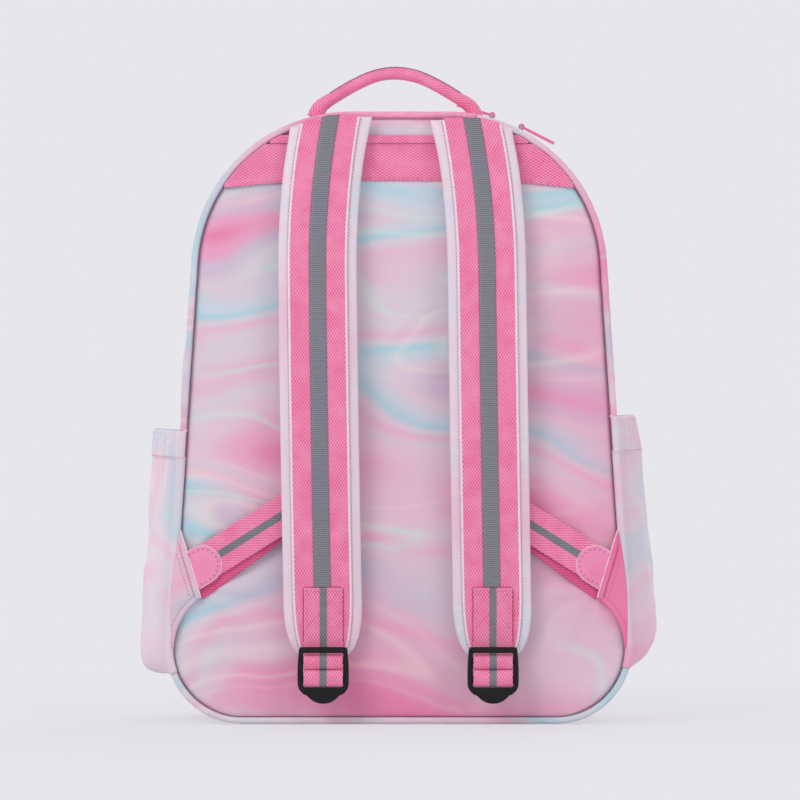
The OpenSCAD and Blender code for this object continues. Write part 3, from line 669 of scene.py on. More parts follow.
def grid_faces(rows: int, cols: int, ring_rows: bool = False, ring_cols: bool = False) -> Array:
    """Lists the quads of a grid of points.

    Args:
        rows: Points along the first index.
        cols: Points along the second index.
        ring_rows: Whether the last row joins the first.
        ring_cols: Whether the last column joins the first.

    Returns:
        Four point numbers for each quad.
    """
    row = np.arange(rows if ring_rows else rows - 1)[:, None]
    col = np.arange(cols if ring_cols else cols - 1)[None, :]
    ahead = (row + 1) % rows
    beside = (col + 1) % cols
    quads = [row * cols + col, row * cols + beside, ahead * cols + beside, ahead * cols + col]
    return np.stack(quads, -1).reshape(-1, 4)


def tube_faces(rows: int, cols: int) -> list[list[int]]:
    """The faces of a tube of rings, with one face over each end."""
    ends = [list(range(first, first + cols)) for first in (0, (rows - 1) * cols)]
    return grid_faces(rows, cols, ring_cols=True).tolist() + ends


def border_ring(rows: int, cols: int) -> Array:
    """The numbers of a grid's border points, in order round it."""
    grid = np.arange(rows * cols).reshape(rows, cols)
    return np.concatenate([grid[0], grid[1:, -1], grid[-1, -2::-1], grid[-2:0:-1, 0]])


def skirt_faces(upper: Array, lower: Array) -> Array:
    """The quads between two rings of point numbers."""
    return np.stack([upper, np.roll(upper, -1), np.roll(lower, -1), lower], 1)


def link(name: str, data: bpy.types.ID) -> Piece:
    """Puts data into the scene as an object.

    Args:
        name: The object's name.
        data: Its mesh, camera, light or curve.

    Returns:
        The object.
    """
    thing = bpy.data.objects.new(name, data)
    bpy.context.scene.collection.objects.link(thing)
    return thing


def face_outwards(mesh: bpy.types.Mesh, merge: bool = False) -> None:
    """Turns a closed mesh's faces outwards.

    Args:
        mesh: The mesh.
        merge: Whether double points are merged first.
    """
    edit = bmesh.new()
    edit.from_mesh(mesh)
    if merge:
        bmesh.ops.remove_doubles(edit, verts=edit.verts, dist=1e-6)
        bmesh.ops.dissolve_degenerate(edit, edges=edit.edges, dist=1e-6)
    bmesh.ops.recalc_face_normals(edit, faces=edit.faces)
    edit.to_mesh(mesh)
    edit.free()


def make_piece(
    name: str, points: Array, faces: Sequence, finishes: Sequence[Finish], uv: Array | None = None,
    attributes: dict[str, Array] | None = None, outwards: bool = True,
) -> Piece:
    """Makes a mesh object from points in millimetres.

    Args:
        name: The piece's name.
        points: The places of the points, in an array of any depth.
        faces: Point numbers for each face.
        finishes: The finishes in the order of the material slots.
        uv: A map place for each point.
        attributes: Named values for each point.
        outwards: Whether to turn the faces of a closed mesh outwards.

    Returns:
        The object, linked to the scene.
    """
    mesh = bpy.data.meshes.new(name)
    mesh.from_pydata((points.reshape(-1, 3) * MM).tolist(), [], [list(map(int, face)) for face in faces])
    if uv is not None:
        corner = np.zeros(len(mesh.loops), np.int32)
        mesh.loops.foreach_get("vertex_index", corner)
        mesh.uv_layers.new(name="UVMap").data.foreach_set("uv", uv.astype(np.float32)[corner].ravel())
    for key, values in (attributes or {}).items():
        layer = mesh.attributes.new(key, "FLOAT", "POINT")
        layer.data.foreach_set("value", values.astype(np.float32).ravel())
    if outwards:
        face_outwards(mesh)
    for finish in finishes:
        mesh.materials.append(finish.build())
    mesh.shade_smooth()
    return link(name, mesh)


def evaluated(piece: Piece) -> bpy.types.Mesh:
    """The plain mesh that an object's curve or modifiers make.

    Args:
        piece: The object.

    Returns:
        A new mesh.
    """
    bpy.context.view_layer.update()
    graph = bpy.context.evaluated_depsgraph_get()
    return bpy.data.meshes.new_from_object(piece.evaluated_get(graph), depsgraph=graph)


def bake_modifiers(piece: Piece) -> Piece:
    """Turns a piece with live modifiers into a plain smooth mesh.

    Args:
        piece: The piece.

    Returns:
        The same piece.
    """
    mesh = evaluated(piece)
    piece.modifiers.clear()
    mesh.shade_smooth()
    piece.data = mesh
    return piece


def subdivide(piece: Piece, levels: int = 1) -> None:
    """Adds a live subdivision."""
    modifier = piece.modifiers.new("smooth", "SUBSURF")
    modifier.levels = modifier.render_levels = levels


def thicken(piece: Piece, thickness: float, smooth: bool = False) -> Piece:
    """Gives an open sheet its thickness behind its faces.

    Args:
        piece: A sheet whose faces point outwards, with the finish of its inner side in the second slot.
        thickness: Thickness in millimetres.
        smooth: Whether it is subdivided too.

    Returns:
        The same piece as a plain closed mesh.
    """
    solid = piece.modifiers.new("wall", "SOLIDIFY")
    solid.thickness = thickness * MM
    solid.offset = -1.0
    solid.use_even_offset = True
    solid.material_offset = min(1, len(piece.data.materials) - 1)
    if smooth:
        subdivide(piece)
    return bake_modifiers(piece)


def sheet_piece(
    name: str, points: Array, finishes: Sequence[Finish], thickness: float, quads: Array | None = None,
    smooth: bool = False,
) -> Piece:
    """Makes a sheet that faces away from the bag's middle, without the points that no face uses.

    Args:
        name: The piece's name.
        points: Places in a grid, or in a list where the quads are given.
        finishes: The finishes of its outer and its inner side.
        thickness: How thick it is inwards.
        quads: Its faces, or None for the whole grid.
        smooth: Whether it is subdivided.

    Returns:
        The piece as a plain closed mesh.
    """
    quads = grid_faces(*points.shape[:2]) if quads is None else quads
    used, numbers = np.unique(quads, return_inverse=True)
    quads = numbers.reshape(quads.shape)
    flat = points.reshape(-1, 3)[used]
    corner = flat[quads]
    normal = np.cross(corner[:, 1] - corner[:, 0], corner[:, 3] - corner[:, 0])
    if (normal * (corner.mean(1) - BAG_MIDDLE)).sum() < 0:
        quads = quads[:, ::-1]
    return thicken(make_piece(name, flat, quads, finishes, outwards=False), thickness, smooth)


def coordinates(piece: Piece, kind: str = "co") -> Array:
    """The places of a mesh's points in millimetres, or its normals.

    Args:
        piece: The piece.
        kind: The name of what is read, co or normal.

    Returns:
        An array of vectors.
    """
    values = np.zeros(len(piece.data.vertices) * 3)
    piece.data.vertices.foreach_get(kind, values)
    return values.reshape(-1, 3) / (MM if kind == "co" else 1.0)


def place_points(piece: Piece, points: Array) -> None:
    """Moves a mesh's points to places in millimetres."""
    piece.data.vertices.foreach_set("co", (points * MM).ravel())
    piece.data.update()


def inflate(piece: Piece, cap: float, pressure: float = 4.0, steps: int = 20) -> None:
    """Swells a closed mesh as stuffed cloth, then smooths it.

    Args:
        piece: A closed mesh, slightly smaller than the stuffed piece.
        cap: How far a point may move, in millimetres.
        pressure: The cloth's inner pressure.
        steps: How many frames the cloth swells for.
    """
    start = coordinates(piece)
    cloth = piece.modifiers.new("cloth", "CLOTH")
    cloth.settings.quality = 4
    cloth.settings.use_pressure = True
    cloth.settings.uniform_pressure_force = pressure
    cloth.settings.effector_weights.gravity = 0.0
    cloth.collision_settings.use_collision = False
    for step in range(1, steps + 1):
        bpy.context.scene.frame_set(step)
    bake_modifiers(piece)
    bpy.context.scene.frame_set(1)
    moved = coordinates(piece) - start
    length = np.linalg.norm(moved, axis=1, keepdims=True)
    place_points(piece, start + moved * np.minimum(1.0, cap / np.maximum(length, 1e-9)))
    subdivide(piece)
    bake_modifiers(piece)


def settle(piece: Piece, body: str | None, slot: Slot | None, *nodes: str) -> Piece:
    """Sets a finished piece on its body and hides the nodes that it stands for.

    Args:
        piece: The finished piece.
        body: The body that it rides on, or None where it is blended between two.
        slot: The record's slot of its finish; not used.
        nodes: The nodes that it stands for.

    Returns:
        The same piece.
    """
    if body:
        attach(piece, body)
    if nodes:
        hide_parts(*nodes)
    LOG.info("%s: %d faces", piece.name, len(piece.data.polygons))
    return piece


class Seat:
    """The back of a piece, which smaller things are laid on."""

    def __init__(self, piece: Piece) -> None:
        """Takes the piece's mesh as it is now.

        Args:
            piece: The piece, whose later changes aren't seen.
        """
        mesh = piece.data
        points = [vertex.co.copy() for vertex in mesh.vertices]
        self.tree = BVHTree.FromPolygons(points, [list(face.vertices) for face in mesh.polygons])

    def drop(self, places: Array, lift: float, far: float = 60.0) -> Array:
        """Moves places ahead until they lie on the surface.

        Args:
            places: Places in millimetres, near the surface.
            lift: How far they stay off the surface.
            far: How far back the move starts.

        Returns:
            The seated places; one that meets nothing stays.
        """
        ray = Vector(AHEAD)
        seated = np.array(places, float)
        for index, place in enumerate(seated):
            hit = self.tree.ray_cast((Vector(place) - ray * far) * MM, ray, 2 * far * MM)[0]
            if hit is not None:
                seated[index] = np.array(hit / MM - ray * lift)
        return seated


# Rows of small things


class RowTree:
    """A geometry tree that lays one small shape again and again along a path."""

    def __init__(self, shape: RowShape) -> None:
        """Builds the tree for a shape.

        Args:
            shape: The shape.
        """
        self.tree = bpy.data.node_groups.new(f"row_of_{shape.value}", "GeometryNodeTree")
        sockets = (("Path", "Geometry"), ("Pitch", "Float"), ("Size", "Vector"), ("Finish", "Material"))
        self.keys = {name: self.socket(name, "INPUT", kind) for name, kind in sockets}
        self.socket("Row", "OUTPUT", "Geometry")
        graph = Graph(self.tree)
        given = graph.node("NodeGroupInput").outputs
        path = graph.add("GeometryNodeMeshToCurve", {"Mesh": given["Path"]})
        spacing = {"Curve": path, "Length": given["Pitch"]}
        spaced = graph.add("GeometryNodeResampleCurve", spacing, mode="LENGTH")
        shaping = {0: self.unit_shape(graph, shape), "Scale": given["Size"]}
        shaped = graph.add("GeometryNodeTransform", shaping)
        tangent = graph.add("GeometryNodeInputTangent")
        along = graph.add("FunctionNodeAlignRotationToVector", {"Vector": tangent}, axis="X")
        up = graph.add("GeometryNodeInputNamedAttribute", {"Name": "up"}, data_type="FLOAT_VECTOR")
        turning = {"Rotation": along, "Vector": up}
        turned = graph.add("FunctionNodeAlignRotationToVector", turning, axis="Z", pivot_axis="X")
        laying = {"Points": spaced, "Instance": shaped, "Rotation": turned}
        laid = graph.add("GeometryNodeInstanceOnPoints", laying)
        real = graph.add("GeometryNodeRealizeInstances", {0: laid})
        dressed = graph.add("GeometryNodeSetMaterial", {"Geometry": real, "Material": given["Finish"]})
        graph.node("NodeGroupOutput", {0: dressed})

    def socket(self, name: str, way: str, kind: str) -> str:
        """Adds a socket to the tree's face and returns its key."""
        return self.tree.interface.new_socket(name, in_out=way, socket_type=f"NodeSocket{kind}").identifier

    @staticmethod
    def unit_shape(graph: Graph, shape: RowShape) -> Socket:
        """The shape at a size of about 1, with X along the row and Z up.

        Args:
            graph: The row's node graph.
            shape: The shape.

        Returns:
            The shape's mesh.
        """
        if shape is RowShape.STITCH:
            return graph.add("GeometryNodeMeshUVSphere", {"Segments": 6, "Rings": 4, "Radius": 0.5})
        if shape is RowShape.HOLE:
            return graph.add("GeometryNodeMeshCylinder", {"Vertices": 8, "Radius": 0.5, "Depth": 1.0})
        block = graph.add("GeometryNodeMeshCube", {"Size": (1.0, 1.0, 1.0)})
        return graph.add("GeometryNodeSubdivisionSurface", {"Mesh": block, "Level": 1, "Edge Crease": 0.45})

    def lay(
        self, name: str, paths: Sequence[Array], up: Array | Point, pitch: float, size: Point, finish: Finish
    ) -> Piece:
        """Lays the shape along paths and returns the result as a plain mesh.

        Args:
            name: The piece's name.
            paths: Points of each path, in millimetres.
            up: The way up, for all points or for each.
            pitch: Distance between two shapes, in millimetres.
            size: The shape's size along, across and up, in millimetres.
            finish: The shapes' finish.

        Returns:
            The piece.
        """
        points = np.concatenate(paths)
        ends = np.cumsum([len(path) for path in paths])
        edges = [(i, i + 1) for i in range(len(points) - 1) if i + 1 not in ends]
        mesh = bpy.data.meshes.new(name)
        mesh.from_pydata((points * MM).tolist(), edges, [])
        ups = np.broadcast_to(up, points.shape).astype(np.float32)
        mesh.attributes.new("up", "FLOAT_VECTOR", "POINT").data.foreach_set("vector", ups.ravel())
        piece = link(name, mesh)
        modifier = piece.modifiers.new("row", "NODES")
        modifier.node_group = self.tree
        modifier[self.keys["Pitch"]] = pitch * MM
        modifier[self.keys["Size"]] = tuple(value * MM for value in size)
        modifier[self.keys["Finish"]] = finish.build()
        return bake_modifiers(piece)


@dataclass
class Sewing:
    """Rows of stitches, gathered for each body and thread and sewn at the end."""

    pitch: float = 2.5
    size: Point = (1.9, 0.5, 0.4)

    def __post_init__(self) -> None:
        """Starts with no rows."""
        self.rows: dict[tuple[str, Thread], list[Array]] = {}

    def add(self, body: str, thread: Thread, path: Array) -> None:
        """Adds one row along a path."""
        self.rows.setdefault((body, thread), []).append(path)

    def sew(self, tree: RowTree) -> None:
        """Makes one piece for each body and thread.

        Args:
            tree: The tree that lays the stitches.
        """
        for (body, thread), paths in self.rows.items():
            name = f"stitches_{body}_{thread.name}"
            settle(tree.lay(name, paths, BEHIND, self.pitch, self.size, thread), body, None)


# Woven strips and soft panels


@dataclass(frozen=True)
class Weave:
    """How a strip is woven: the pitch of its picks, how far they stand out and its stripe."""

    across: float = 2.1
    along: float = 3.4
    relief: float = 0.45
    stripe: float = 0.0
    samples: float = 4.0
    ribbed: bool = False

    def height(self, u: Array, v: Array) -> Array:
        """How high the weave stands at a place, from 0 to 1.

        Args:
            u: Distances across the webbing.
            v: Distances along it.

        Returns:
            A height for each pair of them.
        """
        if self.ribbed:
            return 0.5 + 0.5 * np.cos(TURN * v / self.along) + 0.0 * u
        one = np.cos(TURN * (u / self.across + v / self.along))
        two = np.cos(TURN * (u / self.across - v / self.along))
        return np.clip(0.46 + 0.40 * one + 0.20 * two, 0.0, 1.0)


@dataclass
class Track:
    """A run of places with the way across and the way out, for all or for each, in millimetres."""

    places: Array
    across: Array | Point
    out: Array | Point

    def __post_init__(self) -> None:
        """Gives each place its own ways."""
        self.across = np.broadcast_to(np.asarray(self.across, float), self.places.shape)
        self.out = np.broadcast_to(np.asarray(self.out, float), self.places.shape)

    @cached_property
    def lengths(self) -> Array:
        """Length along the track at each place."""
        return run_lengths(self.places)

    def resampled(self, step: float) -> "Track":
        """The same track with places about a step apart.

        Args:
            step: The step.

        Returns:
            The new track.
        """
        marks = np.linspace(0.0, self.lengths[-1], max(2, int(self.lengths[-1] / step)) + 1)

        def at(values: Array) -> Array:
            """Values at the marks."""
            return np.stack([np.interp(marks, self.lengths, column) for column in values.T], 1)

        return Track(at(self.places), unit(at(self.across)), unit(at(self.out)))

    def beside(self, offset: Array) -> Array:
        """Places beside the track by an offset at each place."""
        return self.places + self.across * offset[:, None]

    def spread(self, u: Array, rise: Array) -> Array:
        """Rows of places across the track by u and out of it by rise."""
        across, out = self.across[:, None] * u[..., None], self.out[:, None] * rise[..., None]
        return self.places[:, None] + across + out


def smooth_line(knots: Array, count: int = 24) -> Array:
    """Places along a smooth curve through knots.

    Args:
        knots: One row for each knot.
        count: Places in each run between two knots.

    Returns:
        The places, with the last knot at the end.
    """
    points = np.concatenate([[2 * knots[0] - knots[1]], knots, [2 * knots[-1] - knots[-2]]])
    t = np.linspace(0.0, 1.0, count, endpoint=False)[:, None]
    runs = [
        0.5 * (
            2 * start + (end - before) * t + (2 * before - 5 * start + 4 * end - after) * t**2
            + (3 * start - before - 3 * end + after) * t**3
        )
        for before, start, end, after in zip(points, points[1:], points[2:], points[3:])
    ]
    return np.concatenate([*runs, knots[-1:]])


PICK_STEP = 0.6
FINE_STEP = 0.55


def bent_track(knots: Sequence[tuple[float, float]], x: float) -> Track:
    """A track at a constant X through knots in Y and Z, whose way out is to the left of its run.

    Args:
        knots: Y and Z of each knot.
        x: The track's X.

    Returns:
        The track, evenly sampled.
    """
    line = smooth_line(np.array(knots, float))
    way = unit(np.gradient(line, axis=0))
    return Track(spots(x, *line.T), RIGHT, spots(0.0, way[:, 1], -way[:, 0])).resampled(PICK_STEP)


def woven_strip(
    name: str, track: Track, high: Array | float, thickness: float, weave: Weave = Weave(),
    finish: Finish = PINK_WEBBING, both: bool = False, low: Array | float | None = None,
) -> Piece:
    """Makes a closed strip of webbing along a track, with its weave in relief.

    Args:
        name: The piece's name.
        track: The middle of the strip, in steps fit for the weave.
        high: Upper edge across the track.
        thickness: The strip's thickness without the relief.
        weave: How it is woven.
        finish: Its finish.
        both: Whether the weave shows on the inner side too.
        low: Lower edge across the track, or None where it mirrors the upper one.

    Returns:
        The piece.
    """
    rows = len(track.places)
    high = np.broadcast_to(high, rows)[:, None]
    low = -high if low is None else np.broadcast_to(low, rows)[:, None]
    count = max(4, int((high - low).max() / (weave.across / weave.samples)))
    u = low + (high - low) * np.linspace(0.0, 1.0, count + 1)
    relief = weave.height(u, track.lengths[:, None])
    rounding = np.clip(np.minimum(u - low, high - u) / 0.9, 0.0, 1.0) ** 0.5
    level = thickness / 2 * (0.4 + 0.6 * rounding)
    picks = weave.relief * (relief - 0.5) * rounding
    back = np.linspace(0, count, count + 1 if both else 6).astype(int)[::-1]
    inner = track.spread(u, -level - picks if both else -level)[:, back]
    ring = np.concatenate([track.spread(u, level + picks), inner], axis=1)
    height = np.concatenate([relief, relief[:, back]], axis=1)
    striped = np.abs(np.concatenate([u, u[:, back]], axis=1)) < weave.stripe
    attributes = {"weave": height, "stripe": striped}
    return make_piece(name, ring, tube_faces(*ring.shape[:2]), [finish], attributes=attributes)


def tube(
    name: str, track: Track, radii: tuple[float, float], finish: Finish, sides: int = 14, fold: float = 0.0,
    taper: Array | float = 1.0, looped: bool = False,
) -> Piece:
    """Sweeps an oval along a track.

    Args:
        name: The piece's name.
        track: The oval's centres and its two ways.
        radii: The oval's radius along the way out and along the way across.
        finish: Its finish.
        sides: Points round the oval.
        fold: Depth of uneven folds along the tube.
        taper: Share of the radii, for all places or for each.
        looped: Whether the end joins the start.

    Returns:
        The piece.
    """
    angle = np.linspace(0.0, TURN, sides, endpoint=False)
    rows = len(track.places)
    swell = np.ones(rows) * taper
    if fold:
        swell += fold * ripple(track.places, 16.0, 21) + 0.6 * fold * ripple(track.places, 7.0, 22)
    ring = track.spread(*(
        wave * radius * swell[:, None] for wave, radius in zip((np.sin(angle), np.cos(angle)), radii[::-1])
    ))
    faces = grid_faces(rows, sides, True, True) if looped else tube_faces(rows, sides)
    return make_piece(name, ring, faces, [finish])


def soft_panel(
    name: str, right: Array, cols: int, out: Point, thickness: float, edge: float,
    finishes: Sequence[Finish], relief: Callable[[Array], Array] | None = None, rim: float = 0.25,
    left: Array | None = None,
) -> Piece:
    """Makes a closed flat piece between two edges, rounded towards its rim.

    Args:
        name: The piece's name.
        right: Places along its right edge.
        cols: Faces from edge to edge.
        out: The way that its shown face looks.
        thickness: Thickness away from the rim.
        edge: Width of the rounded rim.
        finishes: The shown face's finish, and the hidden face's.
        relief: Height added to the shown face at each place.
        rim: Share of the thickness that is left at the rim.
        left: Places along its left edge, or None where it mirrors the right one.

    Returns:
        The piece.
    """
    left = right * MIRROR if left is None else left
    even = np.linspace(0.0, 1.0, cols + 1)
    share = 0.45 * (0.5 - 0.5 * np.cos(math.pi * even)) + 0.55 * even
    base = left[:, None, :] + (right - left)[:, None, :] * share[None, :, None]
    flat = base.reshape(-1, 3)
    ring = border_ring(len(base), cols + 1)
    full = round_rise(nearest(flat, flat[ring])[0] / edge)
    rise = thickness * (rim + (1 - rim) * full)
    if relief is not None:
        rise = rise + relief(flat) * full
    count = len(flat)
    quads = grid_faces(len(base), cols + 1)
    faces = np.concatenate([quads, skirt_faces(ring, ring + count), quads[:, ::-1] + count])
    piece = make_piece(name, np.concatenate([flat + np.array(out) * rise[:, None], flat]), faces, finishes)
    if len(finishes) > 1:
        hidden = np.arange(len(faces)) >= len(faces) - len(quads)
        piece.data.polygons.foreach_set("material_index", hidden.astype(np.int32))
    face_outwards(piece.data, merge=True)
    return piece


def rounded_outline(corners: Sequence[tuple[float, float]], radii: Sequence[float]) -> Array:
    """An outline with round corners.

    Args:
        corners: The outline's corners in order.
        radii: How far from each corner its rounding starts.

    Returns:
        Points along the rounded outline.
    """
    runs = []
    places = np.array(corners)
    for before, here, after, radius in zip(np.roll(places, 1, 0), places, np.roll(places, -1, 0), radii):
        start, end = (
            here + (other - here) * min(0.5, radius / np.linalg.norm(other - here))
            for other in (before, after)
        )
        runs.append(quadratic(start, here, end, 7))
    return np.concatenate(runs)


def plate(
    name: str, outlines: Sequence[Array], thickness: float, bevel: float, finish: Finish, place: Matrix
) -> Piece:
    """Makes a flat plate with rounded edges from outlines, the later ones cut out of the first.

    Args:
        name: The piece's name.
        outlines: Outlines in the plate's own X and Y.
        thickness: The plate's thickness.
        bevel: Radius of its edges.
        finish: Its finish.
        place: The matrix that puts the plate in the frame, in metres.

    Returns:
        The piece.
    """
    curve = bpy.data.curves.new(name, "CURVE")
    curve.dimensions = "2D"
    curve.fill_mode = "BOTH"
    curve.extrude = (thickness / 2 - bevel) * MM
    curve.bevel_depth = bevel * MM
    curve.bevel_resolution = 3
    curve.offset = -bevel * MM
    for outline in outlines:
        spline = curve.splines.new("POLY")
        spline.points.add(len(outline) - 1)
        spline.use_cyclic_u = True
        for point, (x, y) in zip(spline.points, outline):
            point.co = (x * MM, y * MM, 0.0, 1.0)
    flat = link(name, curve)
    mesh = evaluated(flat)
    bpy.data.objects.remove(flat)
    mesh.transform(place)
    face_outwards(mesh, merge=True)
    mesh.materials.clear()
    mesh.materials.append(finish.build())
    return link(name, mesh)


def joined(parts: Sequence[Piece]) -> Piece:
    """Joins pieces of one finish into the first and removes the rest.

    Args:
        parts: The pieces.

    Returns:
        The first piece.
    """
    edit = bmesh.new()
    for part in parts:
        edit.from_mesh(part.data)
    edit.to_mesh(parts[0].data)
    edit.free()
    for part in parts[1:]:
        bpy.data.objects.remove(part)
    return parts[0]


# The bag's own form


class Stations(NamedTuple):
    """Places round the bag's seam: arc centre, radius, angle of the way out and share of the front drop."""

    x: Array
    z: Array
    r: Array
    angle: Array
    share: Array

    def picked(self, keys: Array | slice) -> "Stations":
        """The stations with the given numbers."""
        return Stations(*(values[keys] for values in self))

    def mirrored(self) -> "Stations":
        """The same stations on the other side, in the other order."""
        x, z, r, angle, share = self.picked(slice(None, None, -1))
        return Stations(-x, z, r, math.pi - angle, share)

    def joined(self, other: "Stations") -> "Stations":
        """These stations and then the others."""
        return Stations(*map(np.concatenate, zip(self, other)))

    @property
    def height(self) -> Array:
        """Height of the seam at each station."""
        return self.z + self.r * np.sin(self.angle)

    @property
    def out(self) -> Array:
        """The way out at each station."""
        return spots(np.cos(self.angle), 0.0, np.sin(self.angle))


def span(node: str) -> tuple[Vector, Vector]:
    """A CAD node's lowest and highest corner in millimetres."""
    low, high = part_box(node)
    return low / MM, high / MM


@dataclass
class BagForm:
    """The bag's outline and walls, as the frame has them."""

    base_w: float = 336.0
    crown_w: float = 300.0
    shoulder_r: float = 115.0
    base_r: float = 55.0
    swell: float = 1.0
    back_inset: float = 1.5
    front_inset: float = 12.0
    front_drop: float = 20.0
    fold_z: float = 236.0
    zip_y: float = 8.0
    lane: float = 9.0
    seam_in: float = 5.4
    height: float = span("back_piping")[1].z
    back_y: float = span("back_panel")[0].y
    front_y: float = span("flap_panel")[1].y
    wall_back_y: float = span("rear_gusset")[0].y
    wall_front_y: float = span("flap_gusset")[1].y

    def __post_init__(self) -> None:
        """Finds the centres of the right side's two arcs and the lean of the straight between them."""
        self.top_c = np.array((self.crown_w / 2 - self.shoulder_r, self.height - self.shoulder_r))
        self.low_c = np.array((self.base_w / 2 - self.base_r, self.base_r))
        dx, dz = self.low_c - self.top_c
        self.lean = math.atan2(dz, dx) + math.acos((self.shoulder_r - self.base_r) / math.hypot(dx, dz))

    def right_half(self, step: float) -> Stations:
        """Stations from the middle of the top round the right side to the middle of the base.

        Args:
            step: About how far apart they are.

        Returns:
            The stations, one of them at the fold's height.
        """
        def run(start: float, end: float, length: float, closed: bool = False) -> Array:
            """Even values over a length, about a step apart."""
            return np.linspace(start, end, max(3, int(length / step)), endpoint=closed)

        (top_x, top_z), (low_x, low_z) = self.top_c, self.low_c
        reach = np.array((math.cos(self.lean), math.sin(self.lean)))
        high, low = self.top_c + self.shoulder_r * reach, self.low_c + self.base_r * reach
        z = np.concatenate([
            run(high[1], self.fold_z, high[1] - self.fold_z), run(self.fold_z, low[1], self.fold_z - low[1])
        ])
        x = low[0] + (z - low[1]) / (high[1] - low[1]) * (high[0] - low[0])
        share = np.clip((z - self.fold_z) / (high[1] - self.fold_z), 0.0, 1.0)
        shoulder = run(QUARTER, self.lean, self.shoulder_r * (QUARTER - self.lean))
        corner = run(self.lean, -QUARTER, self.base_r * (QUARTER + self.lean))
        runs = (
            (run(0.0, top_x, top_x), top_z, self.shoulder_r, QUARTER, 1.0),
            (top_x, top_z, self.shoulder_r, shoulder, 1.0),
            (x, z, 0.0, self.lean, share),
            (low_x, low_z, self.base_r, corner, 0.0),
            (run(low_x, 0.0, low_x, True), low_z, self.base_r, -QUARTER, 0.0),
        )
        return Stations(*map(np.concatenate, zip(*(np.broadcast_arrays(*values) for values in runs))))

    def flank(self, step: float) -> Stations:
        """Stations down the right side, from the end of the flat top to the start of the flat base.

        Args:
            step: About how far apart they are.

        Returns:
            The stations.
        """
        right = self.right_half(step)
        top = (right.angle > QUARTER - 1e-9) & (right.x < self.top_c[0] - 1e-9)
        base = (right.angle < 1e-9 - QUARTER) & (right.x < self.low_c[0] - 1e-9)
        return right.picked(~top & ~base)

    def loop(self, step: float) -> Stations:
        """Stations all round the seam, clockwise as the photograph shows it, from the middle of the top."""
        right = self.right_half(step)
        return right.joined(right.picked(slice(1, -1)).mirrored())

    def arch(self, step: float) -> Stations:
        """Stations from the left end of the fold over the top to its right end.

        Args:
            step: About how far apart they are.

        Returns:
            The stations.
        """
        right = self.right_half(step)
        upper = right.picked(right.height > self.fold_z - 0.1)
        return upper.picked(slice(1, None)).mirrored().joined(upper)

    def at_height(self, heights: Array) -> Stations:
        """Stations on the right side at the given heights, below the shoulder.

        Args:
            heights: The heights.

        Returns:
            A station for each height.
        """
        right = self.right_half(2.0)
        lower = right.picked(right.angle < self.lean + 1e-6)
        rising = lower.picked(np.argsort(lower.height))
        return Stations(*(np.interp(heights, rising.height, values) for values in rising))

    def front_share(self, y: Array) -> Array:
        """How far a depth lies between the zip and the front seam, from 0 to 1."""
        start = self.zip_y + self.lane
        return np.clip((y - start) / (self.wall_front_y - start), 0, 1)

    def wall_out(self, y: Array) -> Array:
        """How far the wall lies outside the back seam at a depth.

        Args:
            y: The depths.

        Returns:
            A distance for each depth.
        """
        rear = np.clip((y - self.wall_back_y) / (self.zip_y - self.lane - self.wall_back_y), 0, 1)
        return (
            (self.swell + self.back_inset) * np.sin(QUARTER * rear) - self.back_inset
            - (self.swell + self.front_inset) * (1 - np.cos(QUARTER * self.front_share(y)))
        )

    def wall(self, stations: Stations, y: Array, inset: Array | float = 0.0) -> Array:
        """Places on the wall.

        Args:
            stations: Stations along the first index.
            y: Depths along the second index.
            inset: How far inside the wall's outer face they lie.

        Returns:
            An array of places by station and depth.
        """
        x, z, r, angle, share = (values[:, None] for values in stations)
        weight = np.where(np.sin(angle) >= 0, 1.0, np.abs(np.cos(angle)))
        r = r + self.wall_out(y) * weight - inset
        drop = self.front_drop * (1 - np.cos(QUARTER * self.front_share(y)))
        return spots(x + r * np.cos(angle), y, z + r * np.sin(angle) - drop * share)

    def wall_line(self, stations: Stations, y: float, inset: float) -> Array:
        """Places on the wall at one depth."""
        return self.wall(stations, np.array([y]), inset)[:, 0]

    def seam(self, stations: Stations, inset: float, y: float) -> Array:
        """Places on the back outline, inside the seam by an inset."""
        x, z, r, angle, _ = stations
        return spots(x + (r - inset) * np.cos(angle), y, z + (r - inset) * np.sin(angle))

    def crown(self, x: Array, inset: float) -> Array:
        """Height of the back outline, inside the seam by an inset, over the top and the shoulders.

        Args:
            x: Where the height is wanted, on either side.
            inset: The inset.

        Returns:
            A height for each X.
        """
        right = self.seam(self.flank(2.0), inset, 0.0)
        rising = right[right[:, 2] > self.top_c[1]]
        return np.interp(np.abs(x), rising[:, 0], rising[:, 2])


FORM = BagForm()
BAG_MIDDLE = np.array((0.0, 0.0, 200.0))
SEAM_STEP = 3.0


# Sub-assemblies


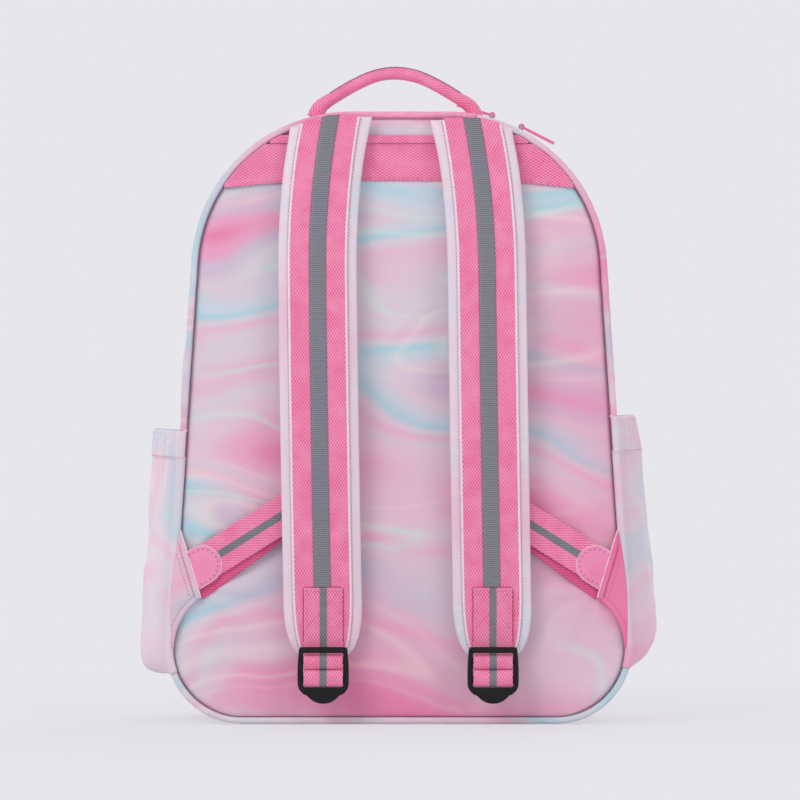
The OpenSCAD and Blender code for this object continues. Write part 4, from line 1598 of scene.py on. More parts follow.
@dataclass
class BagShell:
    """The bag's walls: rear wall, sides, base and the front panel with its flap."""

    wall_t: float = 1.8
    panel_t: float = 2.0
    piping_r: float = 2.6
    crown: float = 5.0
    belly: float = 3.0
    belly_z: float = 252.0

    def build(self) -> None:
        """Builds the walls and then the front."""
        self.build_wall()
        self.build_flap_wall()
        self.build_front()
        self.build_front_piping()

    def folds(self, stations: Stations, y: Array, seed: int) -> Array:
        """How far the wall sinks in at each place, with puckers along its seams.

        Args:
            stations: Where the wall runs.
            y: Its depths, from the rear.
            seed: The ripples' seed.

        Returns:
            An inset for each station and depth.
        """
        outer = FORM.wall(stations, y)
        flat = outer.reshape(-1, 3)
        soft = 0.9 * ripple(flat, 85.0, seed) + 0.35 * ripple(flat, 30.0, seed + 1)
        along = run_lengths(outer[:, 0])[:, None]
        reach = np.minimum(y - y[0], y[-1] - y)
        near = np.exp(-reach / 9.0)
        pull = 0.5 * np.cos(TURN * along / 13.0 + np.sin(along / 47.0)) * near
        still = np.clip(reach / 6.0, 0.0, 1.0)
        floor = np.clip((outer[..., 2] - 4.0) / 40.0, 0.0, 1.0)
        return (np.abs(soft.reshape(floor.shape)) * 0.6 * still + (0.5 + pull) * near) * floor

    def build_wall(self) -> None:
        """One shell for the rear wall, the sides and the base, cut out above the fold for the flap."""
        stations = FORM.loop(5.0)
        split = FORM.zip_y - FORM.lane - 0.2
        rear = np.linspace(FORM.wall_back_y, split, 14)
        y = np.concatenate([rear, np.linspace(split + 3.0, FORM.wall_front_y, 15)])
        belly = self.belly * np.exp(-((stations.height - self.belly_z) / 34.0) ** 2) * (stations.x < 0)
        depth = np.sin(math.pi * np.clip((y - FORM.wall_back_y) / 58.0, 0.0, 1.0))
        points = FORM.wall(stations, y, self.folds(stations, y, 31) - np.outer(belly, depth))
        rows, cols = points.shape[:2]
        quads = grid_faces(rows, cols, ring_rows=True)
        row, col = np.divmod(quads[:, 0], cols)
        low = stations.height <= FORM.fold_z + 0.1
        keep = (low[row] & low[(row + 1) % rows]) | (col < len(rear) - 1)
        wall = sheet_piece("bag_wall", points, [WALL_CLOTH, LINING_CLOTH], self.wall_t, quads[keep])
        sides = [side.of("side_gusset") for side in Side]
        settle(wall, "bag", Slot.PRINT, "rear_gusset", *sides, "base_panel")

    def build_flap_wall(self) -> None:
        """The flap's own wall, between the zip and the front seam."""
        stations = FORM.arch(5.0)
        y = np.linspace(FORM.zip_y + FORM.lane + 0.2, FORM.wall_front_y, 16)
        points = FORM.wall(stations, y, self.folds(stations, y, 41))
        wall = sheet_piece("flap_wall", points, [WALL_CLOTH, LINING_CLOTH], self.wall_t)
        settle(wall, "front_flap", Slot.PRINT, "flap_gusset")

    def puff(self, places: Array) -> Array:
        """How far the front panel is puffed out at each place, most in the middle of the flap.

        Args:
            places: Places on the flat panel.

        Returns:
            A distance for each place.
        """
        x, z = places[:, 0], places[:, 2]
        upper = np.clip((z - FORM.fold_z) / 60.0, 0.0, 1.0) * np.clip((405.0 - z) / 45.0, 0.0, 1.0)
        dome = upper * np.clip(1 - (x / 150.0) ** 2, 0.0, 1.0)
        free = np.clip((z - 225.0) / 12.0, 0.0, 1.0)
        return self.crown * dome + 0.45 * free * ripple(places[:, [0, 2]], 60.0, 51)

    def build_front(self) -> None:
        """The front panel from the base to the top of the flap, which bends at the fold."""
        right = FORM.wall_line(FORM.flank(5.0), FORM.wall_front_y, FORM.seam_in - 1.6)
        right[:, 1] = FORM.front_y - self.panel_t
        finishes = [FRONT_CLOTH, LINING_CLOTH]
        panel = soft_panel("front_panel_cloth", right, 52, AHEAD, self.panel_t, 9.0, finishes, self.puff)
        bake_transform(panel)
        settle(panel, None, Slot.PRINT, "front_lower_panel", "flap_panel")

    def build_front_piping(self) -> None:
        """The front piping, in two runs that part at the fold."""
        loop = FORM.loop(SEAM_STEP)
        lower = loop.picked(loop.height <= FORM.fold_z + 0.1)
        runs = (("top", FORM.arch(SEAM_STEP), "front_flap", "upper"), ("base", lower, "bag", "lower"))
        y = span("front_piping_upper")[1].y - self.piping_r
        for word, stations, body, half in runs:
            places = FORM.wall_line(stations, FORM.wall_front_y, self.piping_r)
            places[:, 1] = y
            places[:, 2] = np.maximum(places[:, 2], self.piping_r)
            track = Track(places, AHEAD, stations.out)
            piece = tube(f"front_piping_{word}", track, (self.piping_r - 0.1,) * 2, EDGE_CLOTH, 12, 0.03)
            settle(piece, body, Slot.EDGE, f"front_piping_{half}")


@dataclass
class BackPanel:
    """The padded back panel with its piping, lining and yoke."""

    sewing: Sewing
    pad_inset: float = 3.4
    pad_swell: float = 1.8
    pad_proud: float = 0.9
    piping_r: float = 2.6
    piping_flat: float = 2.1
    piping_proud: float = 1.0
    binding_half: float = 59.0
    crown_z: float = 400.0
    yoke_t: float = 1.6
    yoke_dip: float = 5.0
    fold_h: float = 6.5
    fan_x: float = 141.0
    fan_z: float = 97.0
    strap_z: float = 391.0

    def build(self) -> None:
        """Builds the panel from the inside out."""
        self.build_pad()
        self.build_lining()
        self.build_piping()
        self.build_yoke()

    def build_pad(self) -> None:
        """The foam and its cover, swelled as stuffed cloth and then creased."""
        low, high = span("back_panel")[0].y, span("back_foam")[1].y
        right = FORM.seam(FORM.flank(6.0), self.pad_inset, high - self.pad_swell / 2)
        thickness = high - low - 1.5 * self.pad_swell
        self.pad = soft_panel("back_pad", right, 52, BEHIND, thickness, 5.0, [PANEL_CLOTH], rim=0.8)
        inflate(self.pad, self.pad_swell)
        points = coordinates(self.pad)
        y = points[:, 1]
        creased = np.where(y < (low + high) / 2, y - self.creases(points[:, [0, 2]]), np.minimum(y, high))
        points[:, 1] = np.maximum(creased, low - self.pad_proud)
        place_points(self.pad, points)
        settle(self.pad, "bag", Slot.PRINT, "back_panel", "back_foam")

    def creases(self, flat: Array) -> Array:
        """How far the cover stands out at each X and Z: ripples, and pulls at the seam, wings and yoke.

        Args:
            flat: X and Z of the cover's points.

        Returns:
            A distance for each point.
        """
        relief = 0.55 * ripple(flat, 95.0, 3) + 0.22 * ripple(flat, 34.0, 5)
        seam = FORM.seam(FORM.loop(SEAM_STEP), FORM.seam_in, 0.0)[:, [0, 2]]
        reach, number = nearest(flat, seam)
        along = number * SEAM_STEP
        pull = np.cos(TURN * along / 17.0 + 1.5 * np.sin(along / 61.0))
        relief += 0.5 * pull * np.exp(-reach / 13.0)
        for sign in SIGNS:
            dx, dz = self.fan_x - sign * flat[:, 0], flat[:, 1] - self.fan_z
            fan = np.cos(8.0 * np.arctan2(dz, dx) + 0.7 * sign)
            inward = 1 / (1 + np.exp(-(dx + 4.0) / 6.0))
            relief += 1.5 * fan * inward * np.exp(-((np.hypot(dx, dz) - 34.0) / 30.0) ** 2)
        under = np.clip(self.strap_z - flat[:, 1], 0.0, None)
        relief += 0.45 * np.cos(TURN * flat[:, 0] / 31.0) * np.exp(-under / 15.0) * (under > 0)
        return relief * np.clip(reach / 6.0, 0.0, 1.0)

    def build_lining(self) -> None:
        """The thin cloth that lines the panel's inner side."""
        low, high = span("back_lining")
        right = FORM.seam(FORM.flank(7.0), FORM.seam_in + 0.4, low.y)
        relief = rippled(0.25, 60.0, 8)
        piece = soft_panel("back_lining_cloth", right, 46, AHEAD, high.y - low.y, 5.0, [LINING_CLOTH], relief)
        settle(piece, "bag", Slot.LINING, "back_lining")

    def build_piping(self) -> None:
        """The cloth-covered piping all round the seam, a dark tube beside it as painted shade in the seam's
        gap, and the pink crown binding.
        """
        stations = FORM.loop(SEAM_STEP)
        out = stations.out
        places = FORM.seam(stations, self.piping_r, FORM.back_y - self.piping_proud + self.piping_r)
        radii = (self.piping_r, self.piping_flat)
        track = Track(places, AHEAD, out)
        piping = tube("back_piping_cloth", track, radii, EDGE_CLOTH, fold=0.05, looped=True)
        settle(piping, "bag", Slot.EDGE, "back_piping")
        # Painted shade: a thin dark tube along the seam's gap, left out under the crown binding.
        sunk = FORM.seam(stations, FORM.seam_in, FORM.back_y + 0.3)
        shown = (np.abs(sunk[:, 0]) > self.binding_half) | (sunk[:, 2] < self.crown_z)
        first = int(np.flatnonzero(shown & ~np.roll(shown, 1))[0])
        around = np.roll(np.arange(len(sunk)), -first)
        run = around[shown[around]]
        line = tube("back_seam_line", Track(sunk[run], AHEAD, out[run]), (0.35, 0.35), SEAM_SHADE, 6)
        settle(line, "bag", Slot.EDGE)
        near = (np.abs(places[:, 0] + 1.0) < self.binding_half) & (places[:, 2] > self.crown_z)
        crown = np.flatnonzero(near)
        order = crown[np.argsort(places[crown, 0])]
        raised = Track(places[order] + out[order] * 0.3, AHEAD, out[order])
        binding = tube("crown_binding", raised, (self.piping_r - 0.2, self.piping_r), CROWN_CLOTH, fold=0.04)
        settle(binding, "bag", Slot.WEBBING)

    def build_yoke(self) -> None:
        """The webbing band across the top and the narrow fold above it."""
        low, high = span("yoke_band")
        half = high.x + 3.0
        fold_z = high.z - self.fold_h

        def dip(x: Array) -> Array:
            """Height of the band's lower edge, which falls towards its ends."""
            return low.z - self.yoke_dip * (np.abs(x) / half) ** 3

        x = np.arange(-half, half + 0.01, PICK_STEP)
        limit = FORM.crown(x, FORM.seam_in - 0.6)
        top, bottom, over = np.minimum(fold_z, limit), dip(x), np.minimum(high.z, limit)
        places = spots(x, low.y + self.yoke_t / 2, 0.0)
        keep = top > bottom + 1.0
        track = Track(places[keep], UP, BEHIND)
        band = woven_strip("yoke_webbing", track, top[keep], self.yoke_t, low=bottom[keep])
        settle(band, "bag", Slot.WEBBING, "yoke_band")
        keep = over > fold_z + 2.0
        track = Track(places[keep] + (0.0, -0.25, 0.0), UP, BEHIND)
        fold = woven_strip("yoke_fold", track, over[keep], self.yoke_t, low=fold_z + 0.4)
        settle(fold, "bag", Slot.WEBBING)
        line = np.linspace(6.0 - half, half - 6.0, 260)
        inside = line[np.abs(line) < np.abs(x[keep]).max()]
        seat = Seat(band)
        for row in (spots(line, low.y, dip(line) + 1.8), spots(inside, low.y, fold_z - 1.0)):
            self.sewing.add("bag", ROSE_THREAD, seat.drop(row, 0.1))


TOOTH_PITCH = 2.5
TOOTH: Point = (1.5, 2.7, 2.3)
TOOTH_OFF = 2.1
TAPE_OFF = 3.6
TAPE_T = 0.8


@dataclass
class MainZip:
    """The main zip round the arch: tapes, teeth, the placket behind it and its end tabs."""

    teeth: RowTree
    placket_w: float = 18.5

    def build(self) -> None:
        """Builds both halves and what lies over and under them."""
        self.build_half("rear", "bag", -1.0, 0)
        self.build_half("front", "front_flap", 1.0, 1)
        self.build_placket()
        self.build_end_tabs()

    def build_half(self, word: str, body: str, sign: float, skip: int) -> None:
        """One tape with its row of teeth.

        Args:
            word: The half's word in the names.
            body: The body that it rides on.
            sign: The way from the zip's middle to its tape, along Y.
            skip: How many stations, about a millimetre apart, its row of teeth leaves out at its start.
                One more is left out at its end.
        """
        y = np.sort(FORM.zip_y + sign * np.linspace(TAPE_OFF, FORM.lane + 1.5, 5))
        points = FORM.wall(FORM.arch(4.0), y, 0.85)
        uv = np.stack(np.meshgrid(y, run_lengths(points[:, 0])), -1).reshape(-1, 2) * MM
        quads = grid_faces(*points.shape[:2])
        tape = make_piece(f"main_zip_tape_{word}_cloth", points, quads, [ZIP_CLOTH], uv, outwards=False)
        settle(thicken(tape, TAPE_T), body, Slot.ZIP_TAPE, f"main_zip_tape_{word}")
        fine = FORM.arch(1.0).picked(slice(skip, -1 - skip))
        path = FORM.wall_line(fine, FORM.zip_y + sign * TOOTH_OFF, 0.75)
        name = f"main_zip_teeth_{word}"
        row = self.teeth.lay(f"{name}_row", [path], fine.out, TOOTH_PITCH, TOOTH, TEETH_PLASTIC)
        settle(row, body, Slot.ZIP_TEETH, name)

    def build_placket(self) -> None:
        """A cloth strip inside, sewn along the rear half, that covers the zip from within."""
        y = FORM.zip_y + np.array((-11.0, -8.0, -5.0, -1.0, 3.0, 6.5))
        points = FORM.wall(FORM.arch(6.0), y, np.array((2.4, 4.2, 5.8, 6.0, 6.0, 5.8)))
        placket = settle(sheet_piece("zip_placket", points, [LINING_CLOTH], 0.6), "bag", Slot.LINING)

    def build_end_tabs(self) -> None:
        """A webbing tab over each end of the zip."""
        low, high = span("main_zip_end_tabs")
        stations = FORM.at_height(np.linspace(low.z, high.z, 26))
        places = FORM.wall_line(stations, FORM.zip_y, -0.9)
        for side in Side:
            turned = (side.value, 1.0, 1.0)
            track = Track(places * turned, AHEAD, stations.out * turned)
            tab = woven_strip(side.of("zip_end_tab"), track, FORM.lane, 1.2)
            settle(tab, "bag", Slot.WEBBING, "main_zip_end_tabs")


@dataclass
class FrontPocket:
    """The front pocket's shell and its zip."""

    teeth: RowTree
    low_r: float = 46.0
    top_r: float = 34.0
    wall_t: float = 1.8
    crown: float = 4.0
    zip_half: float = 110.0
    zip_lane: float = 9.0
    round_r: float = 9.0

    def build(self) -> None:
        """Builds the shell and then lays the zip in its slot."""
        self.low, self.high = span("front_pocket_face")
        self.zip_z = sum(corner.z for corner in span("front_pocket_zip_teeth")) / 2
        self.build_shell()
        self.build_zip()

    def half_width(self, z: Array) -> Array:
        """Half of the pocket's width at a height.

        Args:
            z: The heights.

        Returns:
            Half of a width for each height.
        """
        dip = np.clip(self.low.z + self.low_r - z, 0.0, self.low_r)
        rise = np.clip(z - self.high.z + self.top_r, 0.0, self.top_r)
        rounded = np.sqrt(self.low_r**2 - dip**2) - self.low_r + np.sqrt(self.top_r**2 - rise**2) - self.top_r
        return self.high.x + rounded

    def build_shell(self) -> None:
        """A puffed face with rounded edges and a slot for the zip, which runs on into the pocket's wall."""
        slot_low, slot_high = self.zip_z - self.zip_lane, self.zip_z + self.zip_lane
        top_c = self.high.z - self.top_r
        turn = np.linspace(0.0, QUARTER, 9)
        z = np.concatenate([
            self.low.z + self.low_r * (1 - np.cos(turn)),
            np.linspace(self.low.z + self.low_r, slot_low, 22)[1:],
            np.linspace(slot_low, slot_high, 4)[1:],
            [top_c + 0.5],
            top_c + self.top_r * np.sin(turn[1:]),
        ])
        edge = self.zip_half / self.high.x
        beside = np.linspace(edge, 1.0, 6)[1:]
        share = np.concatenate([-beside[::-1], np.linspace(-edge, edge, 45), beside])
        x = self.half_width(z)[:, None] * share
        flat = spots(x, 0.0, z[:, None]).reshape(-1, 3)
        ring = border_ring(*x.shape)
        border = flat[ring]
        reach = nearest(flat, border)[0]
        below = slot_low - flat[:, 2]
        top = self.high.y - 0.75 * self.round_r * (1 - round_rise(reach / self.round_r))
        belly = self.crown * np.clip((below - 6.0) / 40.0, 0.0, 1.0) * np.clip(reach / 55.0, 0.0, 1.0)
        calm = np.clip((below - 3.0) / 20.0, 0.0, 1.0) * np.clip(reach / 12.0, 0.0, 1.0)
        flat[:, 1] = top + belly + 0.8 * calm * ripple(flat[:, [0, 2]], 52.0, 61)
        quads = grid_faces(*x.shape)
        middle = flat[quads].mean(1)
        slot = (np.abs(middle[:, 2] - self.zip_z) < self.zip_lane) & (np.abs(middle[:, 0]) < self.zip_half)
        points = [flat]
        faces = [quads[~slot, ::-1]]
        way = unit(border - (0.0, 0.0, (self.low.z + self.high.z) / 2))
        for depth in np.linspace(self.high.y - 0.75 * self.round_r, FORM.front_y + 0.2, 8)[1:]:
            share = (depth - FORM.front_y) / (self.high.y - FORM.front_y)
            sag = -1.4 * math.sin(math.pi * share) + 0.5 * ripple(border, 45.0, 62)
            points.append(border + way * np.minimum(0.0, sag)[:, None] + (0.0, depth, 0.0))
            lower = np.arange(len(ring)) + sum(map(len, points[:-1]))
            faces.append(skirt_faces(ring, lower))
            ring = lower
        finishes = [POCKET_CLOTH, LINING_CLOTH]
        quads = np.concatenate(faces)
        shell = sheet_piece("front_pocket_shell", np.concatenate(points), finishes, self.wall_t, quads)
        settle(shell, "bag", Slot.PRINT, "front_pocket_face", "front_pocket_gusset")

    def build_zip(self) -> None:
        """Two tapes and two rows of teeth along the slot."""
        half = self.zip_half - 0.4
        x = np.linspace(-half, half, 90)
        y = span("front_pocket_zip_tapes")[1].y
        z = np.linspace(TAPE_OFF, self.zip_lane - 0.2, 4)
        grids = [spots(x[:, None], y, self.zip_z + sign * z) for sign in SIGNS]
        points = np.concatenate(grids).reshape(-1, 3)
        quads = grid_faces(len(x), len(z))
        quads = np.concatenate([quads, quads[:, ::-1] + len(x) * len(z)])
        uv = points[:, [2, 0]] * MM
        tape = make_piece("front_pocket_zip_cloth", points, quads, [ZIP_CLOTH], uv, outwards=False)
        settle(thicken(tape, TAPE_T), "bag", Slot.ZIP_TAPE, "front_pocket_zip_tapes")
        lower, upper = (spots(x, y - 0.1, self.zip_z + sign * TOOTH_OFF) for sign in SIGNS)
        paths = [lower[:-1], upper - (TOOTH_PITCH / 2, 0.0, 0.0)]
        row = self.teeth.lay("front_pocket_zip_row", paths, AHEAD, TOOTH_PITCH, TOOTH, TEETH_PLASTIC)
        settle(row, "bag", Slot.ZIP_TEETH, "front_pocket_zip_teeth")


@dataclass(frozen=True)
class PocketHang:
    """How a side pocket hangs: its drawn mouth, its bottom and its hem."""

    mouth_draw: float
    draw_power: float
    drop: float
    round_share: float
    round_power: float
    lift: float
    hem_drop: float


POCKET_HANGS = {
    Side.LEFT: PocketHang(1.5, 4.0, 5.0, 0.06, 0.55, -6.0, 4.5),
    Side.RIGHT: PocketHang(8.0, 3.3, 1.0, 0.15, 0.8, 4.5, 0.0),
}


@dataclass
class SidePocket:
    """A side pocket with its gathered elastic hem."""

    side: Side
    sewing: Sewing
    bulge: float = 18.5
    cloth_t: float = 1.5
    hem_t: float = 2.4
    gather: float = 9.0
    gather_depth: float = 1.5
    gather_reach: float = 46.0
    wrap_r: float = 3.0
    piping_in: float = 2.6
    piping_y: float = -68.4
    flat: tuple[float, float] = (0.148, 0.172)

    def build(self) -> None:
        """Builds the pocket's cloth and its hem."""
        self.hang = POCKET_HANGS[self.side]
        hem_low, hem_high = span(self.side.of("side_pocket_hem"))
        self.low = span(self.side.of("side_pocket"))[0].z - self.hang.drop
        self.top = hem_high.z + self.hang.lift
        self.hem_low = hem_low.z - self.hang.hem_drop
        self.y = np.linspace(*(corner.y for corner in span("side_pocket_right")), 61)
        self.build_cloth()
        self.build_hem()

    def gathers(self, z: Array) -> Array:
        """Ruffles that the elastic draws, strongest at the hem."""
        share = np.clip((z - self.hem_low) / self.gather_reach + 1, 0.0, 1.0)[:, None] ** 1.6
        return self.gather_depth * share * np.cos(TURN * self.y / self.gather + 1.1 * np.sin(self.y / 13.0))

    def surface(self, z: Array, lift: float) -> Array:
        """Places on the pocket's outer face, by height and depth.

        Args:
            z: The heights.
            lift: How far the face lies off the bag's wall at its sides.

        Returns:
            An array of places, from the panel's seam round the piping to the front.
        """
        share = np.clip((z - self.low) / (self.top - self.low), 0.0, 1.0)[:, None]
        arch = np.clip(np.sin(math.pi * np.linspace(0.0, 1.0, len(self.y))), 0.0, 1.0) ** 0.62
        full = self.bulge - self.hang.mouth_draw * share**self.hang.draw_power
        rise = np.sin(QUARTER * np.minimum(1.0, share / self.hang.round_share)) ** self.hang.round_power
        grid = np.stack(np.meshgrid(z, self.y, indexing="ij"), -1).reshape(-1, 2)
        slack = 0.9 * ripple(grid, 70.0, 71 + self.side.value) + 0.5 * ripple(grid * (1.0, 2.2), 34.0, 75)
        loose = arch * np.clip(share / 0.12, 0.0, 1.0)
        out = full * rise * arch + loose * (slack.reshape(loose.shape) + self.gathers(z))
        stations = FORM.at_height(z)
        face = FORM.wall(stations, self.y, -(0.35 + lift + np.maximum(out, 0.0)))
        return np.concatenate([self.wrap(stations, lift), face], axis=1) * (self.side.value, 1.0, 1.0)

    def wrap(self, stations: Stations, lift: float) -> Array:
        """Places where the cloth runs on round the piping to the panel's seam.

        Args:
            stations: Where the pocket's side runs.
            lift: How far the face lies off the bag's wall.

        Returns:
            An array of places, by station and turn.
        """
        turn = np.radians(np.linspace(148.0, -30.0, 10))[None, :, None]
        middle = FORM.seam(stations, self.piping_in, self.piping_y)[:, None, :]
        ring = stations.out[:, None, :] * np.cos(turn) + np.array(BEHIND) * np.sin(turn)
        return middle + ring * (self.wrap_r + 0.25 * lift)

    def build_cloth(self) -> None:
        """The pocket's bag, from the bottom seam to the hem, with close rows round its lower edge."""
        share = np.concatenate([[0.0, 0.006, 0.014, 0.024, 0.036, 0.05, 0.07], np.linspace(0.1, 1.0, 40)])
        points = self.surface(self.low + share * (self.hem_low + 3.0 - self.low), self.cloth_t)
        name = self.side.of("side_pocket_cloth")
        cloth = sheet_piece(name, points, [SIDE_CLOTH, LINING_CLOTH], self.cloth_t)
        settle(cloth, "bag", Slot.PRINT, self.side.of("side_pocket"))

    def build_hem(self) -> None:
        """The turned hem over the pocket's mouth, with a stitch row along each edge."""
        z = np.concatenate([
            self.hem_low + np.array((0.0, 0.4, 1.2, 2.4)),
            np.linspace(self.hem_low + 4.0, self.top - 3.0, 12),
            self.top - np.array((1.8, 0.9, 0.3, 0.0)),
        ])
        points = self.surface(z, self.hem_t - 0.3)
        puff = np.concatenate([[-0.5, -0.1, 0.15, 0.35], np.full(12, 0.5), [0.45, 0.25, -0.1, -0.6]])
        points[..., 0] += self.side.value * puff[:, None]
        name = self.side.of("side_pocket_elastic")
        hem = sheet_piece(name, points, [SIDE_CLOTH, LINING_CLOTH], self.hem_t, smooth=True)
        settle(hem, "bag", Slot.EDGE, self.side.of("side_pocket_hem"))
        rows = ((ROSE_THREAD, self.hem_low + 1.9, 0.35), (PALE_THREAD, self.top - 2.6, 0.25))
        for thread, height, proud in rows:
            row = self.surface(np.array([height]), self.hem_t + proud)[0, 2:-2]
            self.sewing.add("bag", thread, row)


def sideways(path: Array) -> Array:
    """Directions square to a path that lies flat against the back panel."""
    way = unit(np.gradient(path, axis=0) * (1.0, 0.0, 1.0))
    return spots(-way[:, 2], way[:, 1], way[:, 0])


@dataclass
class ShoulderStrap:
    """A padded strap with its webbing, tape, tab and buckle."""

    side: Side
    sewing: Sewing
    width: float = 57.0
    thick: float = 9.0
    length: float = 376.0
    top_x: float = 50.5
    low_x: float = 60.8
    spread: float = 0.3
    shift: float = 1.5
    low_shift: float = 6.5
    lean_power: float = 1.5
    top_gap: float = 1.9
    low_gap: float = 5.0
    bow: float = 10.0
    pad_end_w: float = 24.0
    pad_end_z: float = 48.0
    pad_round_z: float = 88.0
    web_round_z: float = 98.0
    web_w: float = 40.0
    web_t: float = 1.5
    web_end_w: float = 29.0
    web_end_z: float = 55.5
    crown_in: float = 3.0
    crown_share: float = 0.14
    tape_w: float = 12.0
    tab_l: float = 38.0
    adj_w: float = 28.0
    stripe: float = 2.6
    bar_r: float = 2.0
    bar_off: float = 7.5
    upper: float = 46.3
    lower: float = 33.7
    thumb_half: float = 12.0
    pad_swell: float = 1.3
    pad_spare: float = 2.0

    def build(self) -> None:
        """Builds the strap from its pad outwards."""
        self.body = f"{self.side.label}_strap"
        self.buckle = f"{self.side.label}_buckle"
        self.buckle_x = self.side.value * self.low_x + self.low_shift
        self.top_z = span(self.side.of("strap_pad"))[1].z
        self.face = self.thick / 2 + 0.4 + self.web_t
        self.leaf = self.track(np.array([1.0]), self.face + 0.75).places[0, 1]
        self.bar_y = self.leaf - self.bar_off
        self.build_pad()
        self.build_webbing()
        self.build_edges()
        self.build_tape()
        self.build_tab()
        self.build_run()
        self.build_buckle()
        self.build_loop()

    def share_at(self, z: Array | float) -> Array | float:
        """Share of the strap's length at a height."""
        return (self.top_z - z) / self.length

    def crowned(self, points: Array) -> Array:
        """Draws the strap's top end to the crown's curve, lower on the right.

        Args:
            points: Points of the strap.

        Returns:
            The moved points.
        """
        limit = FORM.crown(points[:, 0], 0.0) - self.crown_in
        limit = np.minimum(limit, FORM.height - 4.5 - 1.3 * self.side.value)
        weight = np.clip(1 - self.share_at(points[:, 2]) / self.crown_share, 0.0, 1.0) ** 2
        return points + np.outer((limit - self.top_z) * weight, UP)

    def draw_up(self, piece: Piece, slot: Slot, node: str) -> Seat:
        """Draws a piece's top end to the crown, sets it on the strap and returns its seat."""
        place_points(piece, self.crowned(coordinates(piece)))
        return Seat(settle(piece, self.body, slot, self.side.of(node)))

    def track(self, t: Array, off: float) -> Track:
        """The strap's middle line, moved out of the pad's middle surface.

        Args:
            t: Shares of the strap's length from its top.
            off: Distance from the middle surface, away from the panel.

        Returns:
            The track.
        """
        def middle(s: Array) -> Array:
            """Y and Z of the pad's middle surface at shares of its length."""
            gap = self.top_gap + (self.low_gap - self.top_gap) * s + self.bow * np.sin(math.pi * s)
            return np.stack([FORM.back_y - gap - self.thick / 2, self.top_z - self.length * s], 1)

        way = unit(middle(t + 0.001) - middle(t - 0.001))
        out = spots(0.0, way[:, 1], -way[:, 0])
        apart = 1 - (1 - np.clip(t / self.spread, 0.0, 1.0)) ** 2
        x = self.side.value * (self.top_x + (self.low_x - self.top_x) * apart)
        x += self.shift + (self.low_shift - self.shift) * np.clip(t, 0.0, 1.0) ** self.lean_power
        return Track(spots(x, *middle(t).T) + out * off, RIGHT, out)

    @staticmethod
    def narrowed(z: Array, round_z: float, end_z: float, width: float, end_w: float) -> Array:
        """Half of a width at each height, drawn in from a height down to the lower end."""
        share = np.clip((round_z - z) / (round_z - end_z), 0.0, 1.0)
        return (end_w + (width - end_w) * np.sqrt(1 - share**2)) / 2

    def web_half(self, t: Array) -> Array:
        """Half of the webbing's width at shares of the strap's length."""
        z = self.top_z - self.length * t
        return self.narrowed(z, self.web_round_z, self.web_end_z, self.web_w, self.web_end_w)

    def build_pad(self) -> None:
        """The foam pad in printed cloth, swelled as stuffed cloth."""
        bend, end = self.share_at(self.pad_round_z), self.share_at(self.pad_end_z)
        ease = np.sin(np.linspace(0.0, QUARTER, 18))[1:]
        t = np.concatenate([np.linspace(0.0, bend, 64), bend + (end - bend) * ease])
        width, end_w = self.width + self.pad_spare, self.pad_end_w + self.pad_spare
        z = self.top_z - self.length * t
        half = self.narrowed(z, self.pad_round_z, self.pad_end_z, width, end_w)
        full = round_rise(np.minimum(t + 0.004, end - t + 0.002) * self.length / 7.0)
        cos, sin = (wave(np.linspace(0.0, TURN, 36, endpoint=False)) for wave in (np.cos, np.sin))
        wide = np.sign(cos) * np.abs(cos) ** 0.35
        tall = np.sign(sin) * np.abs(sin) ** 0.8 * (self.thick / 2 - self.pad_swell)
        ring = self.track(t, 0.0).spread(np.outer(half, wide), np.outer(full, tall))
        rows, cols = ring.shape[:2]
        faces = grid_faces(rows, cols, ring_cols=True).tolist()
        ends = [(k, k + 1, cols - k - 1, (cols - k) % cols) for k in range(cols // 2)]
        for first in (0, (rows - 1) * cols):
            faces += [[first + k for k in dict.fromkeys(quad)] for quad in ends]
        pad = make_piece(self.side.of("strap_cushion"), ring, faces, [STRAP_CLOTH])
        inflate(pad, self.pad_swell)
        self.pad_seat = self.draw_up(pad, Slot.EDGE, "strap_pad")

    def build_webbing(self) -> None:
        """The wide webbing sewn along the pad."""
        t = np.linspace(0.0, self.share_at(self.web_end_z), int(self.length / FINE_STEP))
        track = self.track(t, self.thick / 2 + 0.2 + self.web_t / 2)
        web = woven_strip(self.side.of("strap_web"), track, self.web_half(t), self.web_t)
        self.web_seat = self.draw_up(web, Slot.WEBBING, "strap_webbing")

    def build_edges(self) -> None:
        """The folded cloth edge along each side of the webbing, and the stitch row beside it."""
        t = np.linspace(0.004, self.share_at(self.web_end_z) - 0.002, 240)
        half = self.web_half(t)
        line, row = (self.track(t, self.thick / 2 + off) for off in (1.25, 2.0))
        for sign in SIGNS:
            name = f"{self.side.of('strap_edge')}_{'outer' if sign == self.side.value else 'inner'}"
            places = self.crowned(line.beside(sign * (half + 0.35)))
            edge = tube(name, Track(places, line.across, line.out), (1.0, 0.85), FOLD_AND_HIGHLIGHT_CLOTH, 8, 0.03)
            settle(edge, self.body, Slot.EDGE)
            seam = self.crowned(row.beside(sign * (half + 1.9)))
            self.sewing.add(self.body, ROSE_THREAD, self.pad_seat.drop(seam, 0.05))

    def build_tape(self) -> None:
        """The ribbed reflective tape down the middle of the webbing."""
        t = np.linspace(0.0, 1 - self.tab_l / self.length - 0.001, int(self.length / 0.38))
        track = self.track(t, self.face + 0.3)
        weave = Weave(across=3.0, along=1.55, relief=0.3, samples=2.0, ribbed=True)
        tape = woven_strip(self.side.of("strap_reflector"), track, self.tape_w / 2, 0.6, weave, GREY_TAPE)
        self.draw_up(tape, Slot.TAPE, "strap_tape")

